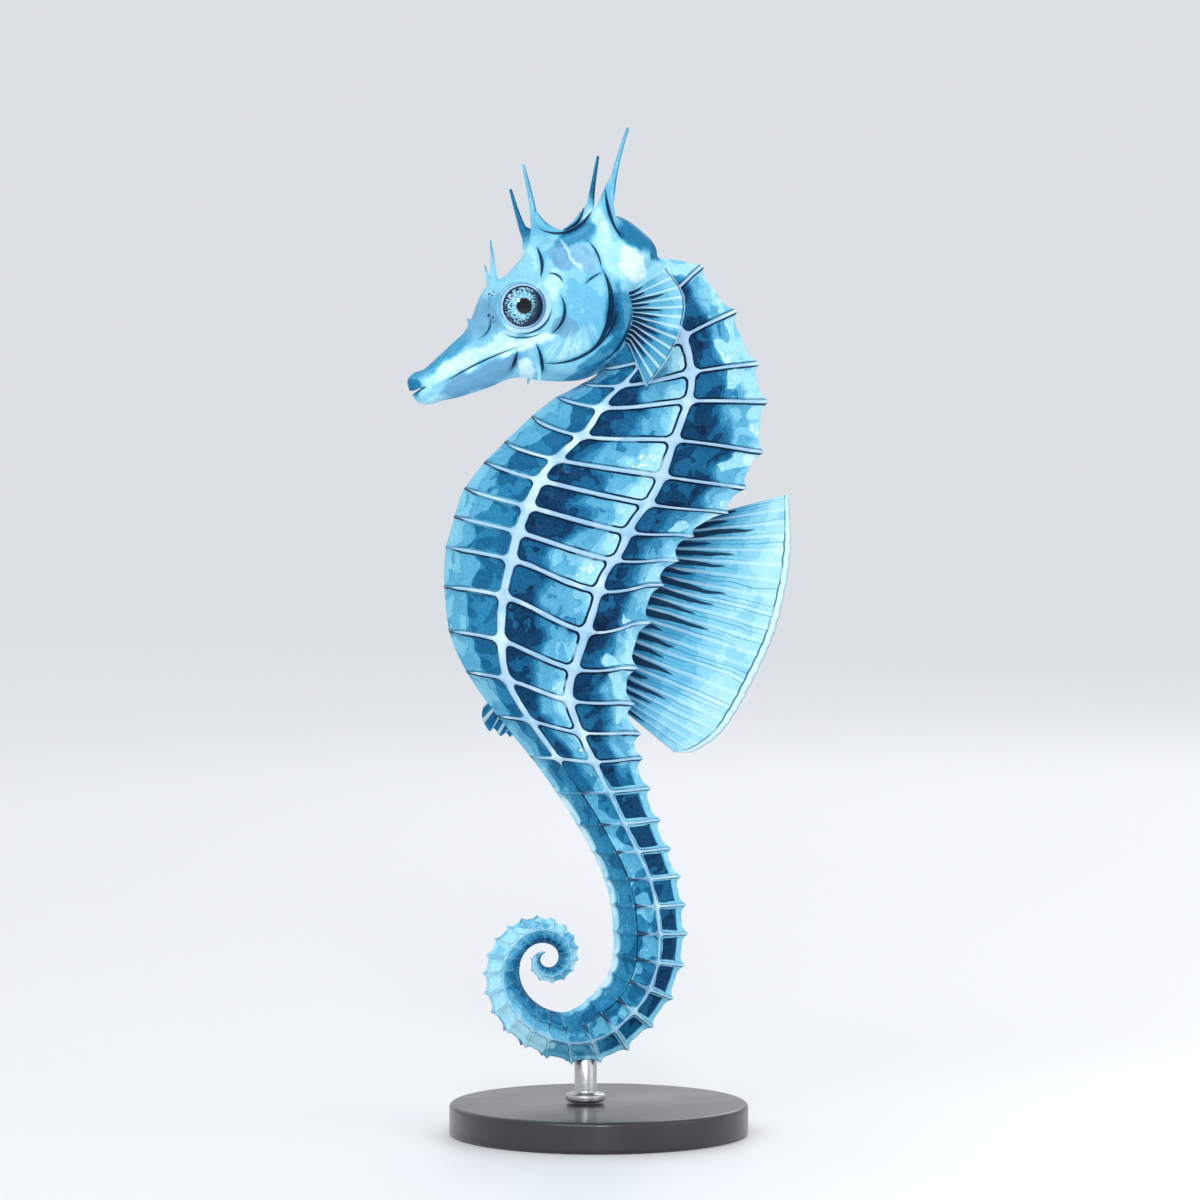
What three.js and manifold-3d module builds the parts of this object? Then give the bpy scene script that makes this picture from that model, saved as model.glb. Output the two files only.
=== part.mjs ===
// A life-size display model of a seahorse: head with a coronet of horns, ringed trunk and a curled tail,
// held upright by a short rod on a round base. Millimetres, +Z up, the animal faces -X and its left side is -Y.
// The origin is the centre of the base's underside.
import * as THREE from "three";
import { mergeVertices } from "three/addons/utils/BufferGeometryUtils.js";
import Module from "manifold-3d";

const wasm = await Module();
wasm.setup();

// ---------------------------------------------------------------- driving dimensions
const GAP = 0.3; // between neighbouring pieces, face to face
const BASE = { radius: 24, height: 5, bevel: 0.7, sides: 48 };
const ROD = { radius: 1.8, foot: 3.2, footHeight: 1.2, sides: 20 };
const TAIL_CLEARANCE = 6; // from the top of the base to the lowest scute of the tail
const TAIL_LOWEST = BASE.height + TAIL_CLEARANCE;

// Sections across the body from the skull to the tail's bend, among them each bony ring of the trunk.
// back and belly are [x, z], z counted from the lowest scute.
// lateral and inferior are the places of the two side ridges, from 0 at the belly to 1 at the back.
const STATIONS = [
  { name: "skull", back: [10.2, 129.9], belly: [-1.2, 118.2], width: 10.8, lateral: 0.6, inferior: 0.28 },
  { name: "ring 1", back: [15.2, 127.3], belly: [0.2, 114.7], width: 11.6, lateral: 0.6, inferior: 0.28 },
  { name: "ring 2", back: [20.4, 120.4], belly: [0.3, 111.2], width: 12.4, lateral: 0.6, inferior: 0.28 },
  { name: "ring 3", back: [24, 112.4], belly: [-3.3, 108.8], width: 13.4, lateral: 0.62, inferior: 0.24 },
  { name: "ring 4", back: [25.4, 106.4], belly: [-7.3, 106.6], width: 14.6, lateral: 0.62, inferior: 0.22 },
  { name: "ring 5", back: [24.6, 98.5], belly: [-11.5, 103.1], width: 16, lateral: 0.61, inferior: 0.23 },
  { name: "ring 6", back: [21.7, 92.8], belly: [-15.5, 99.3], width: 17.4, lateral: 0.65, inferior: 0.21 },
  { name: "ring 7", back: [18.6, 88.9], belly: [-18.4, 96.4], width: 18.4, lateral: 0.68, inferior: 0.21 },
  { name: "ring 8", back: [12.8, 85.2], belly: [-21.7, 91.9], width: 19.6, lateral: 0.73, inferior: 0.25 },
  { name: "ring 9", back: [10.3, 81.3], belly: [-23.2, 87.3], width: 20.2, lateral: 0.74, inferior: 0.25 },
  { name: "ring 10", back: [7.8, 77.4], belly: [-24.5, 82.3], width: 20.4, lateral: 0.72, inferior: 0.26 },
  { name: "ring 11", back: [5.7, 71.4], belly: [-24.6, 75.5], width: 19.8, lateral: 0.71, inferior: 0.24 },
  { name: "ring 12", back: [3.7, 64.2], belly: [-23.6, 68.8], width: 18.2, lateral: 0.67, inferior: 0.23 },
  { name: "ring 13", back: [3.3, 58.5], belly: [-20.7, 62.7], width: 16, lateral: 0.59, inferior: 0.2 },
  { name: "ring 14", back: [4.5, 53.6], belly: [-15.8, 55.8], width: 14.4, lateral: 0.54, inferior: 0.19 },
  { name: "tail root", back: [5.4, 48.3], belly: [-9.5, 48], width: 12.4, lateral: 0.53, inferior: 0.2 },
  { name: "upper tail", back: [8.4, 39.2], belly: [-3.2, 38.6], width: 11, lateral: 0.53, inferior: 0.25 },
  { name: "mid tail", back: [12, 29.1], belly: [1.5, 29], width: 10.4, lateral: 0.57, inferior: 0.27 },
  { name: "low tail", back: [12.8, 18.7], belly: [2.7, 19.6], width: 10, lateral: 0.6, inferior: 0.27 },
  { name: "tail bend", back: [10, 9.9], belly: [1.6, 14.2], width: 9.4, lateral: 0.6, inferior: 0.27 },
  { name: "curl root", back: [3.5, 3.2], belly: [-1.8, 10.4], width: 8.6, lateral: 0.6, inferior: 0.27 },
];
// The curl. Its outer edge is a spiral whose logarithm falls with each radian, ever more slowly.
const CURL = {
  centre: [-8.35, 17.3],
  radius: 15.1, // of the outer edge straight below the centre
  shrink: 0.338,
  slowing: 0.0165,
  start: -20, // degrees past straight below, clockwise as seen from the left side
  end: 520,
  step: 20,
  hollow: [0.55, 0.42], // inner radius as a share of the outer one, at 0 degrees and past 180
  taper: 370, // degrees where the tip starts to thin out
  tighten: 0.5, // share of its radius that the spiral loses besides in its tapered end
  flatness: 0.95, // width as a share of depth
};

// Bony rings of the tail, below those of the trunk. pitch is a share of the tail's depth.
const TAIL_RINGS = { pitch: 0.43, longest: 5.9, shortest: 1.3, tip: 1 };

// Relief of the plates, at a depth of FULL_RELIEF or more, and shrinking with the tail.
const FULL_RELIEF = 22;
const RELIEF_POWER = 0.55;
const RELIEF = {
  superior: 1.6,
  lateral: 0.75,
  inferior: 0.6,
  keel: 0.45,
  ridge: 0.35,
  ring: 0.4,
  sink: 0.55,
};
const BACK_CORNER = 0.9; // cosine of the angle where the flat back starts
const SECTION_ROUNDNESS = 0.92; // exponent of the section's half ellipse

// Where the body is parted, as ring counts from the skull.
const PARTINGS = { neck: 3, chest: 7, belly: 10, waist: 13 };
const TAIL_TURN = 62; // degrees that one length of tail may bend
const TAIL_LENGTH = 27; // and its greatest length

// The head has its own axes: t back from the tip of the snout, n up across it, y to the right side.
const HEAD = { tip: [-30.7, 108.5], tilt: 29 };
// Sections of the head: t, lowest and highest n, half width, how far the top narrows, and its corners' sharpness.
const HEAD_SECTIONS = [
  { t: 0, low: -2.2, high: 0.5, half: 1.1, narrow: 0, square: 0 },
  { t: 0.5, low: -3.2, high: 1.4, half: 1.8, narrow: 0, square: 0 },
  { t: 2, low: -4, high: 1.8, half: 2.15, narrow: 0, square: 0 },
  { t: 3.4, low: -4.2, high: 1.5, half: 1.95, narrow: 0, square: 0 },
  { t: 6.2, low: -5.1, high: 2.1, half: 2.15, narrow: 0.1, square: 0 },
  { t: 9.6, low: -5.8, high: 2.9, half: 2.45, narrow: 0.15, square: 0 },
  { t: 12, low: -6.2, high: 3.5, half: 2.8, narrow: 0.2, square: 0 },
  { t: 14.3, low: -6.4, high: 4.9, half: 3.3, narrow: 0.25, square: 0.05 },
  { t: 16.4, low: -7.1, high: 6.7, half: 3.9, narrow: 0.25, square: 0.1 },
  { t: 18.8, low: -8.9, high: 8.1, half: 4.5, narrow: 0.25, square: 0.15 },
  { t: 22.5, low: -11.2, high: 8.2, half: 5, narrow: 0.25, square: 0.2 },
  { t: 26, low: -12.5, high: 9.3, half: 5.3, narrow: 0.22, square: 0.3 },
  { t: 30, low: -12.4, high: 10.2, half: 5.6, narrow: 0.27, square: 0.35 },
  { t: 34, low: -10.8, high: 10.1, half: 5.8, narrow: 0.3, square: 0.35 },
  { t: 37.5, low: -8, high: 10.4, half: 5.7, narrow: 0.25, square: 0.35 },
  { t: 41, low: -5, high: 9.6, half: 5.2, narrow: 0.2, square: 0.25 },
  { t: 43.6, low: -2.5, high: 6.8, half: 4.4, narrow: 0.1, square: 0.1 },
  { t: 45.6, low: -0.6, high: 2.4, half: 2.2, narrow: 0, square: 0 },
];
const GILL = { t: 27, n: -2.1, y: 4, radii: [7, 3.9, 7.8] };
const GILL_RIM = { t: 28.4, n: -2.5, y: 2.9, radii: [9.6, 4.2, 9.2] };
const EYE = { t: 21.3, n: 3, y: 4.3, radius: 3.7, bulge: 2.7 };
const ORBIT = { y: 3.2, radius: 5, bulge: 3.1 };
const MOUTH = { depth: 2.6, height: 0.55, n: -0.9, hole: 1.1 };
const NOSTRIL = { t: 16.2, n: 3.3, radius: 0.42 };
// The head ends at a bent cut, from the nape down to the throat and then forward under the chin.
const HEAD_CUT = { nape: [12.4, 129.9], throat: [-0.8, 110.6], chin: [-12, 107.4] };
const HEAD_CUT_GAP = [0.187, 0, -0.259]; // moves both faces of that cut by GAP
const SNOUT_PARTING = 13.4; // t of the cut behind the snout

// Horns of the coronet and small spines of the face: root and tip are [x, y, z], z from the lowest scute.
// sway bends a horn in its middle, and parting is the share of its length where it leaves the head's node.
const HORNS = [
  { name: "horn_rear_left", root: [0.9, -2.3, 131], tip: [3.4, -6.2, 149.8], base: 2.6, sway: -0.5, parting: 0.38 },
  { name: "horn_rear_right", root: [-1.4, 2.3, 131], tip: [1.2, 6.2, 145.9], base: 2.5, sway: -0.3, parting: 0.44 },
  { name: "horn_front_left", root: [-10.2, -2.2, 129], tip: [-13.3, -5, 143.9], base: 2.2, sway: 0.5, parting: 0.5 },
  { name: "horn_front_right", root: [-9.8, 2.2, 129], tip: [-13.4, 5, 140.4], base: 2.2, sway: -0.3, parting: 0.56 },
];
const SPINES = [
  { name: "nose left", root: [-17.7, -1.3, 124.2], tip: [-18.1, -2.3, 132.3], base: 1.7, sway: 0.2 },
  { name: "nose right", root: [-17.5, 1.3, 123.6], tip: [-18.1, 2.5, 128.4], base: 1.4, sway: 0.1 },
  { name: "snout bump", root: [-20, 0, 117.6], tip: [-21.5, 0, 119.8], base: 1.3, sway: 0 },
  { name: "cheek left", root: [-10.2, -3.8, 112.2], tip: [-10.6, -5, 109], base: 1.2, sway: 0 },
  { name: "cheek right", root: [-10.2, 3.8, 112.2], tip: [-10.6, 5, 109], base: 1.2, sway: 0 },
];
const HORN_TIP = 0.22; // radius at the tip
const HORN_SHAFT = 0.85; // radius that the shaft would have at the root without its flare
const HORN_STRETCH = 1.6; // how much broader a flare is fore and aft than across
const HORN_SIDES = 7;
const HORN_ROWS = 9;

// Fins. Root lines lie on the body; rays are ridges on both faces of the membrane.
const FIN = { membrane: 0.5, ray: 0.95, edge: 0.5 };
const DORSAL_FIN = {
  rays: 22,
  rows: 4,
  root: [[20.3, 88.8], [11.8, 82.6], [7.4, 76.6], [4.4, 69.5], [2.4, 62], [3.2, 57.6]],
  rim: [[31.3, 91.6], [31.9, 82], [29.7, 71], [25.5, 62], [20.2, 53.4], [13.9, 49]],
  wave: 0.9,
};
const PECTORAL_FIN = {
  rays: 13,
  rows: 4,
  root: [[4.1, 123.9], [4.8, 119.8], [3.6, 115.4]],
  rim: [[8.6, 127.6], [11.6, 123], [11.1, 118], [8.8, 113], [5.3, 108.6]],
  rootY: 5.6,
  rimY: 11,
  cup: 1.2,
};
const ANAL_FIN = {
  rays: 6,
  rows: 3,
  root: [[-17, 58.6], [-13, 54.2]],
  rim: [[-19, 58], [-18.7, 55.2], [-17.2, 53.8], [-14.4, 53.7]],
  wave: 0.2,
};

const COLOURS = {
  skin: 0x4aa3d0,
  fin: 0xa9e0f2,
  eye: 0x1b3f66,
  stand: 0x2a2c30,
  rod: 0x9a9da1,
};

// ---------------------------------------------------------------- solids
// A closed geometry as a solid. Its faces are turned round if the mapping that made it turned them inwards.
function solidOf(geometry) {
  const plain = geometry.clone();
  plain.deleteAttribute("normal");
  plain.deleteAttribute("uv");
  const merged = mergeVertices(plain, 1e-4);
  const vertProperties = merged.attributes.position.array;
  const triVerts = new Uint32Array(merged.index.array);
  const corners = [new THREE.Vector3(), new THREE.Vector3(), new THREE.Vector3()];
  let volume = 0;
  for (let i = 0; i < triVerts.length; i += 3) {
    corners.forEach((corner, k) => corner.fromArray(vertProperties, 3 * triVerts[i + k]));
    volume += corners[0].dot(corners[1].clone().cross(corners[2]));
  }
  if (volume < 0) triVerts.reverse();
  return new wasm.Manifold(new wasm.Mesh({ numProp: 3, vertProperties, triVerts }));
}

function geometryOf(solid) {
  const mesh = solid.getMesh();
  const geometry = new THREE.BufferGeometry();
  geometry.setAttribute("position", new THREE.BufferAttribute(new Float32Array(mesh.vertProperties), 3));
  geometry.setIndex(new THREE.BufferAttribute(new Uint32Array(mesh.triVerts), 1));
  return geometry;
}

const union = (solids) => solids.reduce((whole, next) => whole.add(next));
const largest = (solid) =>
  solid.decompose().reduce((best, next) => (next.volume() > best.volume() ? next : best));

// A capped cylinder bent so that its rows and columns land on pointAt(row, column).
function bentCylinder(rows, columns, pointAt) {
  const geometry = new THREE.CylinderGeometry(1, 1, 1, columns, rows);
  const place = geometry.attributes.position;
  const ringAt = (row) => Array.from({ length: columns }, (_, column) => pointAt(row, column));
  const rings = Array.from({ length: rows + 1 }, (_, row) => ringAt(row));
  for (let i = 0; i < place.count; i++) {
    const row = Math.round((0.5 - place.getY(i)) * rows);
    const turn = Math.atan2(place.getX(i), place.getZ(i)) / (2 * Math.PI);
    const column = (Math.round(turn * columns) + columns) % columns;
    const onAxis = Math.hypot(place.getX(i), place.getZ(i)) < 0.5;
    const centre = () => rings[row].reduce((sum, p) => sum.add(p), new THREE.Vector3()).divideScalar(columns);
    const point = onAxis ? centre() : rings[row][column];
    place.setXYZ(i, point.x, point.y, point.z);
  }
  return geometry;
}

// A closed sheet with two faces split into triangles alike. pointAt(column, row, side) has side 1 or -1.
function sheet(columns, rows, pointAt) {
  const face = new THREE.PlaneGeometry(1, 1, columns, rows).index.array;
  const perFace = (columns + 1) * (rows + 1);
  const points = [];
  for (const side of [1, -1]) {
    for (let row = 0; row <= rows; row++) {
      for (let column = 0; column <= columns; column++) points.push(pointAt(column, row, side));
    }
  }
  const index = [...face];
  for (let i = 0; i < face.length; i += 3) {
    index.push(perFace + face[i], perFace + face[i + 2], perFace + face[i + 1]);
  }
  const at = (column, row) => row * (columns + 1) + column;
  const rim = [];
  for (let column = 0; column < columns; column++) rim.push(at(column, 0));
  for (let row = 0; row < rows; row++) rim.push(at(columns, row));
  for (let column = columns; column > 0; column--) rim.push(at(column, rows));
  for (let row = rows; row > 0; row--) rim.push(at(0, row));
  rim.forEach((here, k) => {
    const next = rim[(k + 1) % rim.length];
    index.push(here, next, perFace + next, here, perFace + next, perFace + here);
  });
  return new THREE.BufferGeometry().setFromPoints(points).setIndex(index);
}

const ellipsoid = (radii, across, down) =>
  new THREE.SphereGeometry(1, across, down).scale(...radii);

// A smooth line through points [x, z], in the plane y = 0. shift is added to z.
const lineThrough = (points, shift) =>
  new THREE.CatmullRomCurve3(
    points.map(([x, z]) => new THREE.Vector3(x, 0, z + shift)),
    false,
    "catmullrom",
    0.5,
  );

// ---------------------------------------------------------------- the body's middle line and sections
const curlStations = [];
for (let angle = CURL.start; angle <= CURL.end; angle += CURL.step) {
  const turn = THREE.MathUtils.degToRad(angle);
  const outer = CURL.radius * Math.exp(turn * (CURL.slowing * turn - CURL.shrink));
  const hollow = THREE.MathUtils.lerp(...CURL.hollow, THREE.MathUtils.clamp(angle / 180, 0, 1));
  const thin = THREE.MathUtils.clamp((angle - CURL.taper) / (CURL.end + CURL.step / 2 - CURL.taper), 0, 1);
  const middle = ((outer * (1 + hollow)) / 2) * (1 - CURL.tighten * thin ** 2);
  const half = ((outer * (1 - hollow)) / 2) * (1 - thin ** 1.5);
  const out = [-Math.sin(turn), -Math.cos(turn)];
  const at = (radius) => CURL.centre.map((start, axis) => start + out[axis] * radius);
  curlStations.push({
    back: at(middle + half),
    belly: at(middle - half),
    width: 2 * half * CURL.flatness,
    lateral: 0.6,
    inferior: 0.27,
  });
}
const stations = [...STATIONS, ...curlStations];
const backLine = lineThrough(stations.map((s) => s.back), TAIL_LOWEST);
const bellyLine = lineThrough(stations.map((s) => s.belly), TAIL_LOWEST);
const measures = new THREE.CatmullRomCurve3(
  stations.map((s) => new THREE.Vector3(s.width, s.lateral, s.inferior)),
  false,
  "catmullrom",
  0.5,
);

// The back is flat between its two superior ridges, so those stand at the section's full height.
const ridgeAngle = (share) => Math.acos((1 - 2 * share) * (share > 0.5 ? BACK_CORNER : 1));

// The section at a place from 0 at the skull to 1 at the tip of the tail.
function sectionAt(place) {
  const back = backLine.getPoint(place);
  const belly = bellyLine.getPoint(place);
  const across = back.clone().sub(belly);
  const depth = across.length();
  const [width, lateral, inferior] = measures.getPoint(place).toArray();
  return {
    centre: back.add(belly).multiplyScalar(0.5),
    across: across.divideScalar(depth),
    depth,
    width,
    ridges: [0, inferior, lateral, 1].map(ridgeAngle),
  };
}

// Lengths along the middle line, so that rings can be spaced in millimetres.
const STEPS = 80 * (stations.length - 1);
const lengths = [0];
for (let i = 1; i <= STEPS; i++) {
  const step = sectionAt(i / STEPS).centre.distanceTo(sectionAt((i - 1) / STEPS).centre);
  lengths.push(lengths[i - 1] + step);
}
const bodyLength = lengths[STEPS];
function placeAt(length) {
  const i = Math.max(1, lengths.findIndex((l) => l >= length));
  return (i - 1 + (length - lengths[i - 1]) / (lengths[i] - lengths[i - 1])) / STEPS;
}

// A point on the body's skin. angle is 0 at the belly and PI at the back, positive on the left side.
function skinPoint(section, angle, lift) {
  const halfDepth = section.depth / 2;
  const halfWidth = section.width / 2;
  const round = Math.sign(Math.sin(angle)) * Math.abs(Math.sin(angle)) ** SECTION_ROUNDNESS;
  const normal = new THREE.Vector2(-Math.cos(angle) / halfDepth, Math.sin(angle) / halfWidth).normalize();
  const rise = Math.min(1, -Math.cos(angle) / (Math.cos(angle) < 0 ? BACK_CORNER : 1));
  const along = rise * halfDepth + normal.x * lift;
  const side = round * halfWidth + normal.y * lift;
  return section.centre.clone().addScaledVector(section.across, along).add(new THREE.Vector3(0, -side, 0));
}

// Ring lengths: those of the trunk at their stations, then closer as the tail grows thin.
const isRing = STATIONS.map((station) => station.name.startsWith("ring"));
const rings = [];
stations.forEach((station, i) => {
  if (isRing[i]) rings.push(lengths[Math.round((i / (stations.length - 1)) * STEPS)]);
});
while (rings.at(-1) < bodyLength - TAIL_RINGS.tip) {
  const depth = sectionAt(placeAt(rings.at(-1))).depth;
  const pitch = Math.min(TAIL_RINGS.longest, TAIL_RINGS.pitch * depth);
  rings.push(rings.at(-1) + Math.max(TAIL_RINGS.shortest, pitch));
}
rings.pop();

// ---------------------------------------------------------------- ringed skin
// Columns round a section: each ridge, then shares of the way to the next. ridge is -1 between ridges.
const RIDGE_ORDER = [0, 1, 2, 3, -3, -2, -1];
const RIDGE_HEIGHTS = [RELIEF.keel, RELIEF.inferior, RELIEF.lateral, RELIEF.superior];
function columnsOf(section, between) {
  const turnOf = (ridge) => (ridge < 0 ? 2 * Math.PI - section.ridges[-ridge] : section.ridges[ridge]);
  return RIDGE_ORDER.flatMap((ridge, k) => {
    const here = turnOf(ridge);
    const next = k + 1 < RIDGE_ORDER.length ? turnOf(RIDGE_ORDER[k + 1]) : 2 * Math.PI;
    const panel = between.map(({ share, hollow }) => ({ angle: here + share * (next - here), ridge: -1, hollow }));
    return [{ angle: here, ridge: Math.abs(ridge), hollow: 0 }, ...panel];
  });
}

// How far the skin stands out at a row and column of the rings.
function liftAt(row, column, scale) {
  if (row.peak && column.ridge >= 0) return scale * RIDGE_HEIGHTS[column.ridge];
  if (row.peak) return scale * RELIEF.ring;
  if (column.ridge >= 0) return scale * RELIEF.ridge;
  return -scale * RELIEF.sink * row.hollow * column.hollow;
}

const FINE = {
  rows: [{ share: 0.18, hollow: 0.4 }, { share: 0.5, hollow: 1 }, { share: 0.82, hollow: 0.4 }],
  columns: [{ share: 0.16, hollow: 0.4 }, { share: 0.5, hollow: 1 }, { share: 0.84, hollow: 0.4 }],
};
const COARSE = {
  rows: [{ share: 0.35, hollow: 0.8 }, { share: 0.7, hollow: 0.8 }],
  columns: [{ share: 0.5, hollow: 1 }],
};

// The skin between two lengths of the middle line. grow swells it, for cutting a neighbour clear.
function bodySkin(from, to, detail, grow = 0) {
  const rows = [{ length: from, peak: false, hollow: 0.4 }];
  rings.forEach((length, k) => {
    const pitch = (rings[k + 1] ?? bodyLength) - length;
    rows.push({ length, peak: true, hollow: 0 });
    detail.rows.forEach(({ share, hollow }) => rows.push({ length: length + share * pitch, peak: false, hollow }));
  });
  const clear = 0.25;
  const kept = rows.filter((row, k) => k === 0 || (row.length > from + clear && row.length < to - clear));
  kept.push({ length: to, peak: false, hollow: 0.4 });
  const grid = kept.map((row) => {
    const section = sectionAt(placeAt(row.length));
    const scale = Math.min(1, section.depth / FULL_RELIEF) ** RELIEF_POWER;
    return columnsOf(section, detail.columns).map((column) =>
      skinPoint(section, column.angle, liftAt(row, column, scale) + grow),
    );
  });
  return solidOf(bentCylinder(grid.length - 1, grid[0].length, (row, column) => grid[row][column]));
}

// Lengths where the body is parted: after the named rings, then wherever the tail has turned far enough.
const afterRing = (count) => (rings[count - 1] + rings[count]) / 2;
function tailPartings() {
  const found = [];
  let last = afterRing(PARTINGS.waist);
  for (let k = PARTINGS.waist; k < rings.length - 2; k++) {
    const here = sectionAt(placeAt((rings[k] + rings[k + 1]) / 2)).across;
    const turned = THREE.MathUtils.radToDeg(here.angleTo(sectionAt(placeAt(last)).across));
    if (turned > TAIL_TURN || rings[k] - last > TAIL_LENGTH) {
      last = (rings[k] + rings[k + 1]) / 2;
      found.push(last);
    }
  }
  return found;
}

// ---------------------------------------------------------------- head
const headTilt = THREE.MathUtils.degToRad(HEAD.tilt);
const headFrame = new THREE.Matrix4()
  .makeRotationY(-headTilt)
  .setPosition(HEAD.tip[0], 0, HEAD.tip[1] + TAIL_LOWEST);
const inHead = (geometry) => solidOf(geometry.applyMatrix4(headFrame));

// Head sections at a share of the way along, smoothed between the named ones.
const headLines = ["low", "high", "half", "narrow", "square"].map((key) =>
  lineThrough(HEAD_SECTIONS.map((s) => [s.t, s[key]]), 0),
);
const HEAD_ROWS = 30;
const HEAD_COLUMNS = 26;
function faceLoft() {
  return bentCylinder(HEAD_ROWS, HEAD_COLUMNS, (row, column) => {
    const [low, high, half, narrow, square] = headLines.map((line) => line.getPoint(row / HEAD_ROWS).z);
    const t = headLines[0].getPoint(row / HEAD_ROWS).x;
    const angle = (2 * Math.PI * column) / HEAD_COLUMNS;
    const corner = Math.cos(angle) < 0 ? 1 - square : 1;
    const rise = -Math.sign(Math.cos(angle)) * Math.abs(Math.cos(angle)) ** corner;
    const slim = 1 - narrow * Math.max(0, rise);
    const round = Math.sign(Math.sin(angle)) * Math.abs(Math.sin(angle)) ** (0.9 * corner);
    return new THREE.Vector3(t, round * half * slim, (low + high) / 2 + (rise * (high - low)) / 2);
  });
}

// A horn that starts broad, thins quickly as it leaves the skull and sways before its tip.
function horn({ root, tip, base, sway }) {
  const from = new THREE.Vector3(...root);
  const to = new THREE.Vector3(...tip);
  const reach = to.clone().sub(from);
  const sideways = new THREE.Vector3(reach.z, 0, -reach.x).normalize();
  const bend = (share) => sway * Math.sin(Math.PI * share);
  const axisAt = (share) =>
    from.clone().addScaledVector(reach, share).addScaledVector(sideways, bend(share));
  const across = reach.clone().cross(sideways).normalize();
  const geometry = bentCylinder(HORN_ROWS, HORN_SIDES, (row, column) => {
    const share = row / HORN_ROWS;
    const flare = (1 - share) ** 5;
    const shaft = HORN_TIP + (HORN_SHAFT - HORN_TIP) * (1 - share);
    const radius = shaft + (base - HORN_SHAFT) * flare;
    const angle = (2 * Math.PI * column) / HORN_SIDES;
    return axisAt(share)
      .addScaledVector(sideways, radius * (1 + (HORN_STRETCH - 1) * flare) * Math.cos(angle))
      .addScaledVector(across, radius * Math.sin(angle));
  });
  return solidOf(geometry.translate(0, 0, TAIL_LOWEST));
}

// The two sides of the cut across a horn: its foot, which stays on the head, and the horn itself.
function partedHorn(shape) {
  const from = new THREE.Vector3(...shape.root);
  const reach = new THREE.Vector3(...shape.tip).sub(from);
  const normal = reach.clone().normalize();
  const cut = from.addScaledVector(reach, shape.parting).add(new THREE.Vector3(0, 0, TAIL_LOWEST)).dot(normal);
  const whole = horn(shape);
  return {
    foot: whole.trimByPlane(normal.clone().negate().toArray(), -(cut - GAP / 2)),
    horn: whole.trimByPlane(normal.toArray(), cut + GAP / 2),
  };
}

const eyeBall = (side, grow) =>
  ellipsoid([EYE.radius + grow, EYE.bulge + grow, EYE.radius + grow], 20, 12)
    .translate(EYE.t, side * EYE.y, EYE.n);

// The mound of skin that an eye sits in.
const orbit = (side) =>
  ellipsoid([ORBIT.radius, ORBIT.bulge, ORBIT.radius], 22, 10)
    .translate(EYE.t, side * ORBIT.y, EYE.n);

function mouthCutters() {
  const slit = new THREE.BoxGeometry(2 * MOUTH.depth, 8, MOUTH.height).translate(0, 0, MOUTH.n);
  const hole = ellipsoid([MOUTH.depth * 0.8, MOUTH.hole, MOUTH.hole], 12, 8).translate(0, 0, MOUTH.n);
  return [slit, hole];
}

// Everything on the head's side of the cut at the nape and throat, reaching well past the head.
function headSide() {
  const [nape, throat, chin] = [HEAD_CUT.nape, HEAD_CUT.throat, HEAD_CUT.chin];
  const beyond = (from, through, times) => from.map((start, axis) => start + times * (through[axis] - start));
  const corners = [throat, beyond(throat, nape, 3), [-60, beyond(throat, nape, 3)[1]], beyond(throat, chin, 5)];
  const outline = new THREE.Shape(corners.map(([x, z]) => new THREE.Vector2(x, z + TAIL_LOWEST)));
  const slab = new THREE.ExtrudeGeometry(outline, { depth: 60, bevelEnabled: false });
  return solidOf(slab.rotateX(Math.PI / 2).translate(0, 30, 0));
}

function wholeHead() {
  const sides = [-1, 1];
  const cover = ({ t, n, y, radii }, side) => ellipsoid(radii, 22, 12).translate(t, side * y, n);
  const stub = bodySkin(0, afterRing(3), FINE);
  const flesh = union([
    inHead(faceLoft()),
    ...sides.map((side) => inHead(cover(GILL, side))),
    ...sides.map((side) => inHead(cover(GILL_RIM, side))),
    ...sides.map((side) => inHead(orbit(side))),
    ...HORNS.map((shape) => partedHorn(shape).foot),
    ...SPINES.map(horn),
    stub,
  ]);
  const nostril = (side) =>
    ellipsoid([NOSTRIL.radius, 1.4, NOSTRIL.radius], 8, 6).translate(NOSTRIL.t, side * 3.7, NOSTRIL.n);
  const cutters = [
    ...sides.map((side) => eyeBall(side, GAP)),
    ...mouthCutters(),
    ...sides.map(nostril),
  ].map(inHead);
  const carved = cutters.reduce((left, cutter) => left.subtract(cutter), flesh);
  return largest(carved.intersect(headSide()));
}

// ---------------------------------------------------------------- fins
// A fan between a root line and a rim line. thickness rises on each ray; offset moves a point off the fan's plane.
function fan({ rays, rows, root, rim }, offset) {
  const rootLine = lineThrough(root, TAIL_LOWEST);
  const rimLine = lineThrough(rim, TAIL_LOWEST);
  const columns = 2 * (rays - 1);
  return solidOf(
    sheet(columns, rows, (column, row, side) => {
      const spread = column / columns;
      const reach = row / rows;
      const onRay = column % 2 === 0;
      const notch = onRay ? 0 : 0.02;
      const point = rootLine.getPoint(spread).lerp(rimLine.getPoint(spread), reach * (1 - notch * reach));
      const ray = FIN.ray + (FIN.edge - FIN.ray) * reach;
      point.y = offset(spread, reach) + (side * (onRay ? ray : FIN.membrane)) / 2;
      return point;
    }),
  );
}

const waving = ({ wave }) => (spread, reach) => wave * reach * Math.sin(2.2 * Math.PI * spread);

function pectoralFin(side) {
  const { rootY, rimY, cup } = PECTORAL_FIN;
  const out = (spread, reach) =>
    side * (rootY + (rimY - rootY) * reach - cup * Math.sin(Math.PI * spread) * (1 - reach));
  return fan(PECTORAL_FIN, out);
}

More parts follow.
